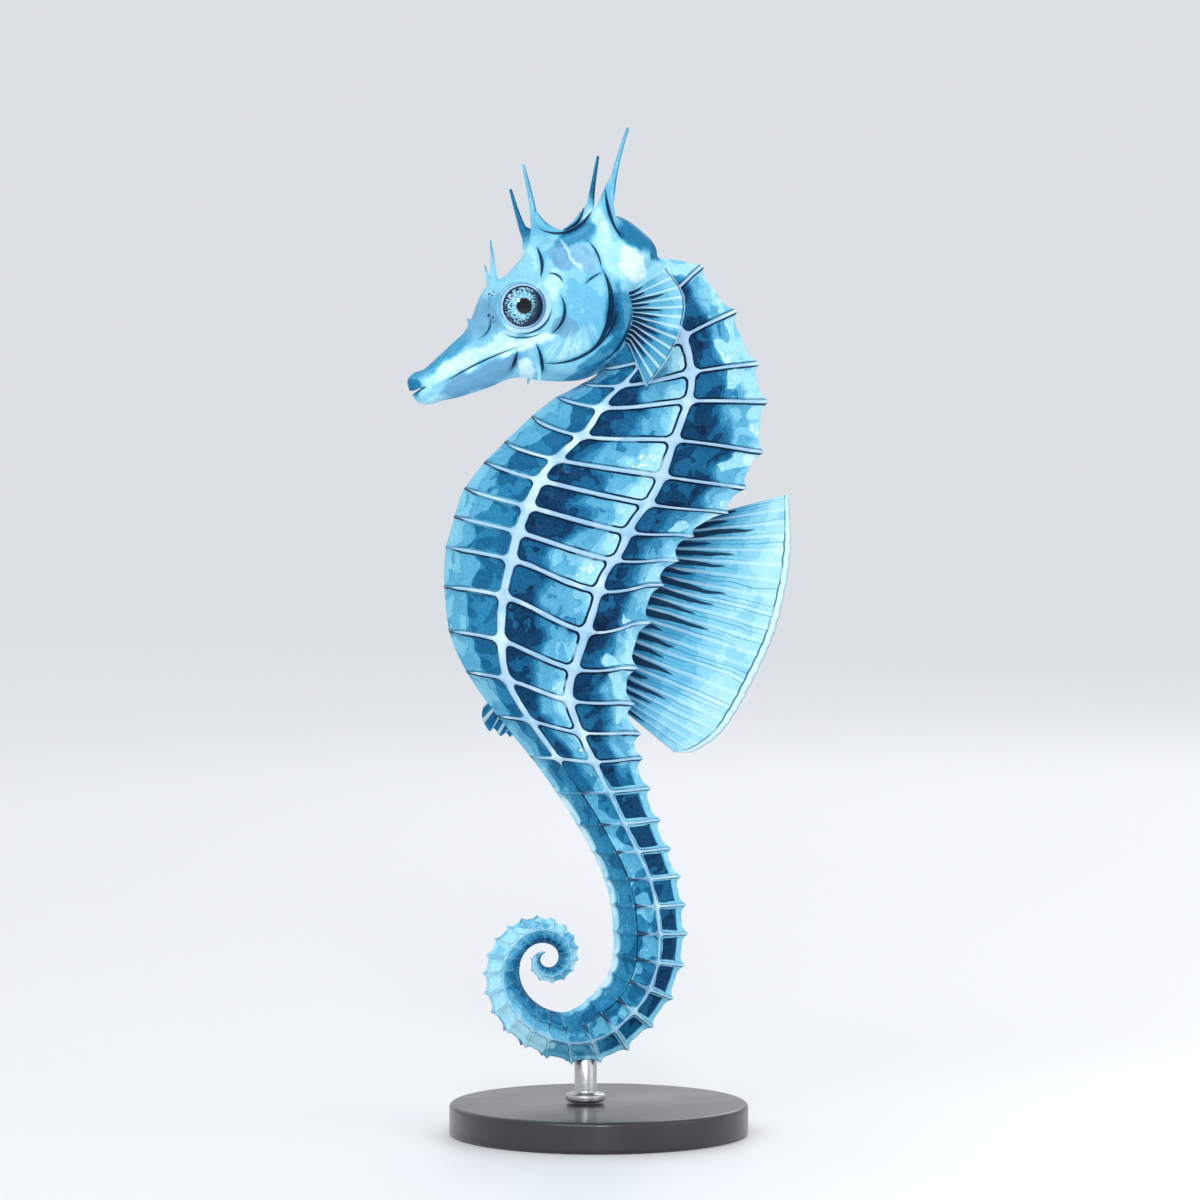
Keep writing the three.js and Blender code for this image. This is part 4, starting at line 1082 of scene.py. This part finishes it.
# ---------------------------------------------------------------- the ringed body
def curl_sections():
    """Sections of the curl, whose outline winds in and thins out."""
    rows = []
    for angle in range(CURL_START, CURL_END + 1, CURL_STEP):
        turn = math.radians(angle)
        outer = CURL_RADIUS * math.exp(turn * (CURL_SLOWING * turn - CURL_SHRINK))
        hollow = CURL_HOLLOW[0] + (CURL_HOLLOW[1] - CURL_HOLLOW[0]) * min(1, max(0, angle / 180))
        thin = min(1, max(0, (angle - CURL_TAPER) / (CURL_END + CURL_STEP / 2 - CURL_TAPER)))
        middle = outer * (1 + hollow) / 2 * (1 - CURL_TIGHTEN * thin**2)
        half = outer * (1 - hollow) / 2 * (1 - thin**1.5)
        away = (-math.sin(turn), -math.cos(turn))
        back = [c + a * (middle + half) for c, a in zip(CURL_CENTRE, away)]
        belly = [c + a * (middle - half) for c, a in zip(CURL_CENTRE, away)]
        rows.append(("curl", *back, *belly, 2 * half * CURL_FLATNESS, *CURL_RIDGES))
    return rows


class Body:
    """The middle line of the body, its sections and the lengths of its rings."""

    def __init__(self):
        rows = SECTIONS + curl_sections()
        table = np.array([row[1:] for row in rows])
        self.back, self.belly, self.measures = table[:, 0:2], table[:, 2:4], table[:, 4:7]
        steps = 80 * (len(rows) - 1)
        self.places = np.arange(steps + 1) / steps
        centres = (smooth_line(self.back, self.places) + smooth_line(self.belly, self.places)) / 2
        self.lengths = travelled(centres, 0)
        self.total = self.lengths[-1]
        self.rings = [
            self.lengths[round(i / (len(rows) - 1) * steps)] for i, row in enumerate(rows) if row[0] == "ring"
        ]
        self.trunk_rings = len(self.rings)
        while self.rings[-1] < self.total - BARE_TIP:
            pitch = min(LONGEST_PITCH, TAIL_PITCH * self.sections([self.rings[-1]])["depth"][0])
            self.rings.append(self.rings[-1] + max(SHORTEST_PITCH, pitch))
        self.rings.pop()

    def sections(self, lengths):
        """Centre, axis and measures of the sections at these lengths from the skull."""
        place = np.interp(lengths, self.lengths, self.places)
        back, belly = smooth_line(self.back, place), smooth_line(self.belly, place)
        width, lateral, inferior = smooth_line(self.measures, place).T
        return {
            "centre": (back + belly) / 2,
            "across": unit(back - belly),
            "depth": np.linalg.norm(back - belly, axis=1),
            "width": width,
            "lateral": lateral,
            "inferior": inferior,
        }


def ridge_angles(sections):
    """Angles of the seven ridges round each section, from keel to keel, with the keel again at the end."""
    def angle(share):
        corner = np.where(share > 0.5, BACK_CORNER, 1)
        return np.arccos((1 - 2 * share) * corner)

    inferior, lateral = angle(sections["inferior"]), angle(sections["lateral"])
    superior = np.full_like(lateral, math.acos(-BACK_CORNER))
    half = [0 * lateral, inferior, lateral, superior]
    return np.stack(half + [2 * math.pi - side for side in reversed(half)], axis=1)


def skin_places(sections, angles, lift):
    """Points of the skin. An angle is 0 at the belly and pi at the back, positive on the left side."""
    half_depth, half_width = sections["depth"][:, None] / 2, sections["width"][:, None] / 2
    sine, cosine = np.sin(angles), np.cos(angles)
    normal = unit(np.stack([-cosine / half_depth, sine / half_width], axis=-1))
    rise = np.minimum(1, -cosine / np.where(cosine < 0, BACK_CORNER, 1))
    along = rise * half_depth + normal[..., 0] * lift
    side = np.sign(sine) * np.abs(sine) ** SECTION_ROUNDNESS * half_width + normal[..., 1] * lift
    x = sections["centre"][:, None, 0] + sections["across"][:, None, 0] * along
    z = sections["centre"][:, None, 1] + sections["across"][:, None, 1] * along
    return np.stack([x, -side, z + LOWEST_SCUTE], axis=-1)


def ring_bends(rows, columns):
    """How far each place of the skin is moved towards the tail, in shares of a ring."""
    half = [np.interp(rows, RING_BENDS["ring"], RING_BENDS[ridge]) for ridge in RIDGE_NAMES]
    return smooth_line(np.stack(half + half[::-1]), columns / len(PANEL_COLUMNS)).T


def nearest_mark(distance, marks):
    """Distance to the nearest mark, for distances along an axis and the indices of the marks."""
    return np.min(np.abs(distance[:, None] - distance[marks][None, :]), axis=1)


def ringed_skin(body, sizes):
    """The skin of neck, trunk and tail, with bars along rings and ridges and a knob where they cross."""
    starts = [0.0, *body.rings, body.total]
    lengths, rows, marks = [], [], []
    for k, (start, end) in enumerate(zip(starts, starts[1:])):
        marks.append(len(lengths))
        in_trunk = k <= body.trunk_rings
        count = TRUNK_ROWS if in_trunk else max(6, min(10, round((end - start) / TAIL_ROW_LENGTH)))
        lengths.extend(start + crowded(count) * (end - start))
        rows.extend(k + crowded(count))
    lengths.append(body.total)
    rows.append(len(body.rings) + 1)
    columns, ridge_columns = [], []
    for k, count in enumerate(PANEL_COLUMNS):
        ridge_columns.append(len(columns))
        columns.extend(k + crowded(count))
    ridge_columns.append(len(columns))
    columns.append(len(PANEL_COLUMNS))
    rows, columns = np.array(rows), np.array(columns)

    # Each column of the grid runs through its own sections, because the rings bend from column to column.
    bent = np.interp(rows[:, None] + ring_bends(rows, columns), np.arange(len(starts)), starts)
    lines = []
    for column, line_lengths in zip(columns, bent.T):
        line = body.sections(line_lengths)
        ridges = ridge_angles(line)
        k = min(int(column), len(PANEL_COLUMNS) - 1)
        lines.append((line, ridges[:, k] + (ridges[:, k + 1] - ridges[:, k]) * (column - k)))

    def lifted(lift):
        sides = [skin_places(line, angle[:, None], lift[:, [c]]) for c, (line, angle) in enumerate(lines)]
        return np.concatenate(sides, axis=1)

    flat = lifted(np.zeros(bent.shape))
    ring_gap = np.stack([nearest_mark(line, marks[1:]) for line in travelled(flat, 0).T], axis=1)
    ridge_gap = np.stack([nearest_mark(line, ridge_columns) for line in travelled(flat, 1)])

    # Bars, the hollows between them and the knobs, all smaller where the body is thinner
    depth = body.sections(np.array(lengths))["depth"]
    scale = np.minimum(1, depth / FULL_DEPTH)[:, None] ** RELIEF_POWER
    ring_bar = 0.5 + 0.5 * np.cos(np.pi * np.minimum(1, ring_gap / (RING_BAR_REACH * scale)))
    ridge_bar = 0.5 + 0.5 * np.cos(np.pi * np.minimum(1, ridge_gap / (RIDGE_BAR_REACH * scale)))
    bars = 1 - (1 - ring_bar) * (1 - ridge_bar)
    near_keel = np.minimum(columns, len(PANEL_COLUMNS) - columns) < THROAT_COLUMNS
    bars = np.where((rows < THROAT_RINGS)[:, None] & near_keel[None, :], 0, bars)
    hollow = smoothstep(0, 1, np.minimum(ring_gap, ridge_gap) / (HOLLOW_REACH * scale))
    hollow = SINK_AT_BAR + (1 - SINK_AT_BAR) * hollow
    ridge_number = np.rint(columns).astype(int)
    mirrored = np.minimum(ridge_number, len(PANEL_COLUMNS) - ridge_number)
    knobs = np.array([getattr(sizes, ridge) for ridge in RIDGE_NAMES])[mirrored][None, :] / MM
    reach = np.clip(1 - np.hypot(ring_gap, ridge_gap) / (KNOB_REACH * scale), 0, 1)
    reach = np.where((mirrored < 3)[None, :] & (rows < KNOBLESS_RINGS)[:, None], 0, reach)
    bar, sink = sizes.bar / MM, sizes.sink / MM
    lift = scale * (bars * bar - (1 - bars) * sink * hollow + (knobs - bar) * reach**KNOB_POINT)
    lift[-1] *= TIP_RELIEF
    lift -= (NECK_TUCK * (1 - smoothstep(0.0, 0.7, rows)))[:, None]
    ring_uv = np.stack(np.broadcast_arrays(rows[:, None], columns[None, :]), axis=-1)
    gap_uv = np.stack([ring_gap / scale, ridge_gap / scale], axis=-1)
    return loft(lifted(lift), [("rings", ring_uv), ("gaps", gap_uv)])


# ---------------------------------------------------------------- the head
def head_place(t, y, n):
    """Places in the model's frame of head coordinates, all in millimetres."""
    x = SNOUT_TIP[0] + t * HEAD_COS - n * HEAD_SIN
    z = SNOUT_TIP[1] + LOWEST_SCUTE + t * HEAD_SIN + n * HEAD_COS
    return np.stack(np.broadcast_arrays(x, y, z), axis=-1)


def face_places(rows=90, columns=80):
    """The head's own form, from the tip of the snout to the back of the skull."""
    lines = smooth_line(HEAD_SECTIONS, np.arange(rows + 1) / rows)
    t, low, high, half, narrow, square = (lines[:, k, None] for k in range(6))
    angle = full_turn(columns)[None, :]
    sine, cosine = np.sin(angle), np.cos(angle)
    corner = np.where(cosine < 0, 1 - square, 1)
    rise = -np.sign(cosine) * np.abs(cosine) ** corner
    slim = 1 - narrow * np.maximum(0, rise)
    y = np.sign(sine) * np.abs(sine) ** (0.9 * corner) * half * slim
    n = (low + high) / 2 + rise * (high - low) / 2
    places = head_place(t, y, n)
    places[:, -1] = places[:, 0]
    return places


def head_ball(middle, radii, side, grow=0.0, across=48, down=28):
    """An ellipsoid on the head, on the right side for 1 and the left for -1."""
    bm = bmesh.new()
    bmesh.ops.create_uvsphere(bm, u_segments=across, v_segments=down, radius=1)
    for vert in bm.verts:
        t, y, n = (m + v * (r + grow) for m, v, r in zip((middle[0], 0, middle[2]), vert.co, radii))
        vert.co = head_place(t, y + side * middle[1], n) * MM
    return bm


def horn_places(shape, shares, sides, grow=0.0):
    """Rings round a horn at shares of its length. It starts broad, thins quickly and sways before its tip."""
    root, tip, base, sway, fall = shape
    reach = np.subtract(tip, root)
    sideways = unit(np.array([reach[2], 0, -reach[0]]))
    across = unit(np.cross(reach, sideways))
    share = np.asarray(shares, float)[:, None, None]
    axis = root + reach * share + sideways * sway * np.sin(np.pi * share)
    flare = (1 - share) ** fall
    radius = HORN_TIP + (HORN_SHAFT - HORN_TIP) * (1 - share) + (base - HORN_SHAFT) * flare + grow
    broad = radius * (1 + (HORN_STRETCH - 1) * flare)
    return rings_round(axis, sideways * broad, across * radius, sides) + RAISED


def tube_places(line, sides=12, count=40):
    """A tapered tube along a smooth line through places above the lowest scute, with their radii."""
    line = smooth_line(np.add(line, (*RAISED, 0)), np.linspace(0, 1, count))
    middle, radius = line[:, :3], line[:, 3:]
    ahead = unit(np.gradient(middle, axis=0))
    sideways = unit(np.cross(ahead, [0, 1, 0]))
    other = np.cross(ahead, sideways)
    return rings_round(middle[:, None], (sideways * radius)[:, None], (other * radius)[:, None], sides)


def lid_places(side, count=72, sides=14):
    """The ring of skin round an eye."""
    turn, angle = full_turn(count)[:, None], full_turn(sides)[None, :]
    thick = LID_THICKNESS * (1 + 0.18 * np.sin(turn))
    radius = LID_RADIUS + thick * np.cos(angle)
    t = EYE[0][0] + radius * np.cos(turn)
    n = EYE[0][2] + radius * np.sin(turn)
    y = side * (LID_Y + 1.1 * thick * np.sin(angle))
    places = head_place(t, y, n)
    places[:, -1], places[-1] = places[:, 0], places[0]
    return places


def neck_stub(body):
    """The start of the neck, which grows together with the head and lies inside the ringed skin."""
    start = body.sections(np.linspace(0, body.rings[0], 20))
    places = skin_places(start, np.broadcast_to(full_turn(64), (20, 65)), -0.8)
    places[:, -1] = places[:, 0]
    return places


def fold_in(mesh):
    """Presses the folds into the sides of the head."""
    count = len(mesh.vertices)
    at, facing = np.empty(count * 3), np.empty(count * 3)
    mesh.vertices.foreach_get("co", at)
    mesh.vertex_normals.foreach_get("vector", facing)
    at, facing = at.reshape(-1, 3) / MM, facing.reshape(-1, 3)
    dx, dz = at[:, 0] - SNOUT_TIP[0], at[:, 2] - SNOUT_TIP[1] - LOWEST_SCUTE
    t, n = dx * HEAD_COS + dz * HEAD_SIN, dz * HEAD_COS - dx * HEAD_SIN
    press = sum(fold[4] * fold_shares(fold, t, n) for fold in FOLDS.values())
    press *= smoothstep(0.25, 0.6, np.abs(facing[:, 1]))
    at -= facing * press[:, None]
    mesh.vertices.foreach_set("co", (at * MM).ravel())
    mesh.update()
    return mesh


def head_skin(body, sizes):
    """The skin of the head, grown together with its horn feet, spines, lids and the start of the neck."""
    parts = [loft(face_places())]
    for side in (-1, 1):
        parts += [head_ball(*shape, side) for shape in (GILL_COVER, GILL_RIM, ORBIT)]
        parts.append(loft(lid_places(side)))
    parts += [loft(horn_places(shape, np.linspace(0, 0.5, 30), 20)) for shape in HORNS.values()]
    parts += [loft(horn_places(shape, np.linspace(0, 1, 24), 16)) for shape in SPINES.values()]
    parts += [loft(tube_places(edge)) for edge in CROWN_EDGES]
    parts.append(loft(neck_stub(body)))
    mesh = remeshed(together(parts, "head"), sizes.voxel)
    for hollow in (MOUTH, MOUTH_HOLLOW):
        mesh = combined(mesh, as_mesh(head_ball(*hollow, 1), "mouth"), "DIFFERENCE")
    mesh = smoothed(mesh, 3)
    feet = [horn_places(shape, [share], 1)[0].mean(axis=0) for shape in HORNS.values() for share in HORN_FEET]
    rims = [np.array(row[:3]) + RAISED for edge in CROWN_EDGES for row in edge[1:6]]
    mesh = smoothed(mesh, 14, feet, FEET_REACH)
    mesh = smoothed(mesh, 10, rims, RIMS_REACH)
    mesh = smoothed(mesh, 14, [head_place(*NAPE)], NAPE_REACH)
    return fold_in(mesh)


class SEAHORSE_OT_skin(bpy.types.Operator):
    """Builds the skin of head, trunk and tail as one piece"""

    bl_idname = "seahorse.skin"
    bl_label = "Build Skin"

    def execute(self, context):
        sizes, colours = context.scene.seahorse_sizes, context.scene.seahorse_colours
        body = Body()
        finishes = [head_finish(colours, "head_skin"), plate_finish(colours)]
        ringed = painted(as_mesh(ringed_skin(body, sizes), "body"), finishes, 1)
        skin = combined(painted(head_skin(body, sizes), finishes), ringed, "UNION")
        for side in (-1, 1):
            for hollow, grow in ((EYE, EYE_GAP), (EYE_OPENING, 0)):
                socket = painted(as_mesh(head_ball(*hollow, side, grow), "socket"), finishes)
                skin = combined(skin, socket, "DIFFERENCE")
        piece("skin", skin, FLESH)
        return {"FINISHED"}


class SEAHORSE_OT_horns(bpy.types.Operator):
    """Builds the shafts of the coronet's horns over their feet"""

    bl_idname = "seahorse.horns"
    bl_label = "Build Horns"

    def execute(self, context):
        finish = head_finish(context.scene.seahorse_colours, "horn_skin")
        shares = np.concatenate([np.linspace(HORN_FEET[0], CAP_START, HORN_ROWS), list(HORN_CAP)])
        shrink = 0.5 + 0.5 * smoothstep(HORN_FEET[0], 0.5, shares)
        shrink[-len(HORN_CAP):] *= list(HORN_CAP.values())
        for name, shape in HORNS.items():
            places = horn_places(shape, shares, HORN_SIDES, HORN_OVERLAP)
            middle = places[:, :-1].mean(axis=1, keepdims=True)
            places = middle + (places - middle) * shrink[:, None, None]
            piece(name, painted(as_mesh(loft(places), name), [finish]), [name])
        return {"FINISHED"}


class SEAHORSE_OT_eyes(bpy.types.Operator):
    """Builds both eyes"""

    bl_idname = "seahorse.eyes"
    bl_label = "Build Eyes"

    def execute(self, context):
        finish = eye_finish(context.scene.seahorse_colours)
        for name, side in (("eye_left", -1), ("eye_right", 1)):
            ball = as_mesh(head_ball(*EYE, side, across=96, down=64), name)
            piece(name, painted(ball, [finish]), [name])
        return {"FINISHED"}


def fin_mesh(name, fin, offset, sizes, rows=40, per_ray=8):
    """A thin pleated fan between its root and its rim. offset(spread, reach) is its y."""
    gaps, start = fin["rays"] - 1, fin["start"]
    spans = gaps * per_ray
    spread = np.concatenate([np.arange(spans), np.arange(spans, -1, -1)]) / spans
    face = np.concatenate([np.ones(spans), -np.ones(spans + 1)])
    face[0] = face[spans] = face[-1] = 0
    reach = np.linspace(start, 1, rows + 1)[:, None]
    root = smooth_line(fin["root"], spread)[None, :]
    rays = smooth_line(fin["rim"], spread)[None, :] - root
    phase = np.abs((spread * gaps + 0.5) % 1 - 0.5)
    corner = np.clip((spread - 1) / CORNER_PART + 1, 0, 1) ** 2
    short = RIM_NOTCH * np.sin(np.pi * phase) ** 2 + fin["corner"] * corner
    out = (reach * (1 - short[None, :] * np.clip(reach, 0, 1) ** 4))[..., None]
    inner = (rays + rays.mean(axis=1, keepdims=True)) / 2
    flat = root + rays * np.maximum(out, 0) + inner * np.minimum(out, 0)
    on_ray = np.exp(-((phase / RAY_WIDTH) ** 2))[None, :]
    ray, membrane = sizes.ray / MM * (1 - RAY_TAPER * np.clip(reach, 0, 1)), sizes.membrane / MM
    thick = membrane + (ray - membrane) * on_ray
    thick = thick * np.clip((1 - reach) / RIM_EDGE, 0, 1) ** 0.5
    thick = thick * np.clip((reach - start) / ROOT_EDGE, 0, 1)
    y = offset(spread[None, :], reach) + face[None, :] * thick / 2
    places = np.stack([flat[..., 0], y, flat[..., 1] + LOWEST_SCUTE], axis=-1)
    places[:, -1] = places[:, 0]
    uv = np.stack(np.broadcast_arrays((spread * gaps)[None, :], reach), axis=-1)
    return as_mesh(loft(places, [("rays", uv)]), name)


def waving(amount):
    """The y of a fin in the middle plane that waves more and more towards its rim."""
    return lambda spread, reach: amount * reach * np.sin(FIN_WAVES * 2 * np.pi * spread)


def outward(side):
    """The y of a fin that leans outwards and whose root sinks steeply into the skin."""
    def offset(spread, reach):
        slope = np.where(reach < 0, PECTORAL_SINK, PECTORAL_LEAN)
        return side * (PECTORAL_Y + slope * reach - PECTORAL_BULGE * np.sin(np.pi * spread))

    return offset


class SEAHORSE_OT_fins(bpy.types.Operator):
    """Builds the dorsal, anal and pectoral fins"""

    bl_idname = "seahorse.fins"
    bl_label = "Build Fins"

    def execute(self, context):
        sizes, colours = context.scene.seahorse_sizes, context.scene.seahorse_colours
        for material, fin, fans in (
            ("dorsal_fin", DORSAL_FIN, {"dorsal_fin": waving(0.9)}),
            ("anal_fin", ANAL_FIN, {"anal_fin": waving(0.2)}),
            (
                "pectoral_fin",
                PECTORAL_FIN,
                {"pectoral_fin_left": outward(-1), "pectoral_fin_right": outward(1)},
            ),
        ):
            finish = fin_finish(colours, material, fin)
            for name, offset in fans.items():
                piece(name, painted(fin_mesh(name, fin, offset, sizes), [finish]), [name])
        return {"FINISHED"}


# ---------------------------------------------------------------- stand and stage
def corner_arc(radius, height, size, start, end, steps=6):
    """Part of a quarter circle in a profile, between two angles."""
    turn = [start + (end - start) * k / steps for k in range(steps + 1)]
    return [(radius + size * math.cos(a), height + size * math.sin(a)) for a in turn]


def rounded(radius, low, high, bevel):
    """A profile of a disc with rounded edges."""
    under = corner_arc(radius - bevel, low + bevel, bevel, -math.pi / 2, 0)
    over = corner_arc(radius - bevel, high - bevel, bevel, 0, math.pi / 2)
    return [(0, low), *under, *over, (0, high)]


class SEAHORSE_OT_stand(bpy.types.Operator):
    """Builds the round base and the rod"""

    bl_idname = "seahorse.stand"
    bl_label = "Build Stand"

    def execute(self, context):
        colours = context.scene.seahorse_colours
        low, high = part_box("stand_base")
        outline = rounded(high.x / MM, low.z / MM, high.z / MM, BASE_BEVEL)
        base = as_mesh(turned(outline, 0, 160), "stand_base")
        lacquer = Paint("stand_lacquer", colours)
        lacquer.bump(lacquer.noise(900, 3), 0.06, 0.0003)
        lacquer.finish("stand", lacquer.span(lacquer.noise(60, 3), 0.3, 0.7, 0.3, 0.42), LACQUER_GLOSS)
        piece("stand_base", painted(base, [lacquer.material]), ["stand_base"])

        low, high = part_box("stand_rod")
        middle, foot = (low.x + high.x) / 2 / MM, (high.x - low.x) / 2 / MM
        collar, top = low.z / MM + ROD_COLLAR, high.z / MM + ROD_INTO_TAIL
        inner, above = ROD_RADIUS + ROD_FILLET, collar + ROD_FILLET
        outline = rounded(foot, low.z / MM, collar, COLLAR_BEVEL)[:-1]
        outline += corner_arc(inner, above, ROD_FILLET, -math.pi / 2, -math.pi)
        outline += [(ROD_RADIUS, top - ROD_BEVEL), (ROD_RADIUS - ROD_BEVEL, top), (0, top)]
        steel = Paint("brushed_steel", colours)
        x, y, z = steel.split(steel.coordinates)
        turn = steel.calc("ARCTAN2", y, x - middle * MM)
        grain = steel.noise(60, 3, at=steel.join(turn * 0.02, z * 60.0, 0.0))
        steel.bump(grain, 0.08, BUMP_DEPTH)
        steel.finish("steel", steel.span(grain, 0.3, 0.7, 0.24, 0.36), {"Metallic": 1.0})
        rod = as_mesh(turned(outline, middle, 72), "stand_rod")
        piece("stand_rod", painted(rod, [steel.material]), ["stand_rod"])
        return {"FINISHED"}


def aimed(name, data, place, target):
    """A lamp or camera at a place, turned to a target."""
    thing = placed(name, data)
    thing.location = place
    thing.rotation_mode = "QUATERNION"
    thing.rotation_quaternion = (target - Vector(place)).to_track_quat("-Z", "Y")
    return thing


class SEAHORSE_OT_stage(bpy.types.Operator):
    """Builds the floor, the lights and the camera"""

    bl_idname = "seahorse.stage"
    bl_label = "Build Stage"

    def execute(self, context):
        bend = [
            (FLOOR_FLAT + FLOOR_BEND * math.sin(a), FLOOR_BEND - FLOOR_BEND * math.cos(a))
            for a in np.linspace(0.05, 1.1, 24)
        ]
        bm = turned([(0, 0), (FLOOR_FLAT, 0), *bend], 0, 96, FLOOR_MERGE)
        bmesh.ops.reverse_faces(bm, faces=bm.faces)
        paper = Paint("floor_paper").finish(PAPER_GREY, 0.45)
        placed("floor", painted(smooth_shaded(as_mesh(bm, "floor")), [paper]))

        stage = context.scene.seahorse_stage
        for name, (place, size) in LIGHTS.items():
            lamp = bpy.data.lights.new(name + "_light", "AREA")
            lamp.energy, lamp.size = getattr(stage, name), size
            aimed(lamp.name, lamp, place, Vector(LIGHT_TARGET))
        world = bpy.data.worlds.new("soft_room")
        world.use_nodes = True
        backdrop = world.node_tree.nodes["Background"]
        backdrop.inputs["Color"].default_value = ROOM_WHITE
        backdrop.inputs["Strength"].default_value = stage.room
        context.scene.world = world

        turn, lift = stage.azimuth, stage.elevation
        target = Vector((CAMERA_SHIFT * math.cos(turn), CAMERA_SHIFT * math.sin(turn), CAMERA_HEIGHT))
        back = Vector((math.sin(turn) * math.cos(lift), -math.cos(turn) * math.cos(lift), math.sin(lift)))
        data = bpy.data.cameras.new("camera")
        data.lens, data.sensor_width = stage.lens, 36
        data.clip_start, data.clip_end = 0.01, 20
        context.scene.camera = aimed("camera", data, target + back * stage.distance, target)
        context.scene.view_settings.view_transform = "Standard"
        return {"FINISHED"}


class SEAHORSE_PT_model(bpy.types.Panel):
    """Lists the steps of the model with its settings"""

    bl_idname = "SEAHORSE_PT_model"
    bl_label = "Seahorse"
    bl_space_type = "VIEW_3D"
    bl_region_type = "UI"
    bl_category = "Seahorse"

    def draw(self, context):
        for step in STEPS:
            self.layout.operator(step.bl_idname)
        for group in SETTINGS:
            box = self.layout.box()
            settings = getattr(context.scene, group)
            for name in settings.bl_rna.properties.keys():
                if name not in ("rna_type", "name"):
                    box.prop(settings, name)


SETTINGS = {
    "seahorse_sizes": SeahorseSizes,
    "seahorse_colours": SeahorseColours,
    "seahorse_stage": SeahorseStage,
}
STEPS = [
    SEAHORSE_OT_skin,
    SEAHORSE_OT_horns,
    SEAHORSE_OT_eyes,
    SEAHORSE_OT_fins,
    SEAHORSE_OT_stand,
    SEAHORSE_OT_stage,
]
CLASSES = [*SETTINGS.values(), *STEPS, SEAHORSE_PT_model]


def register():
    for cls in CLASSES:
        bpy.utils.register_class(cls)
    for group, settings in SETTINGS.items():
        setattr(bpy.types.Scene, group, PointerProperty(type=settings))


def unregister():
    for group in SETTINGS:
        delattr(bpy.types.Scene, group)
    for cls in reversed(CLASSES):
        bpy.utils.unregister_class(cls)


def main():
    register()
    bpy.ops.seahorse.skin()
    bpy.ops.seahorse.horns()
    bpy.ops.seahorse.eyes()
    bpy.ops.seahorse.fins()
    bpy.ops.seahorse.stand()
    bpy.ops.seahorse.stage()
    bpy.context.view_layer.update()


if __name__ == "__main__":
    main()
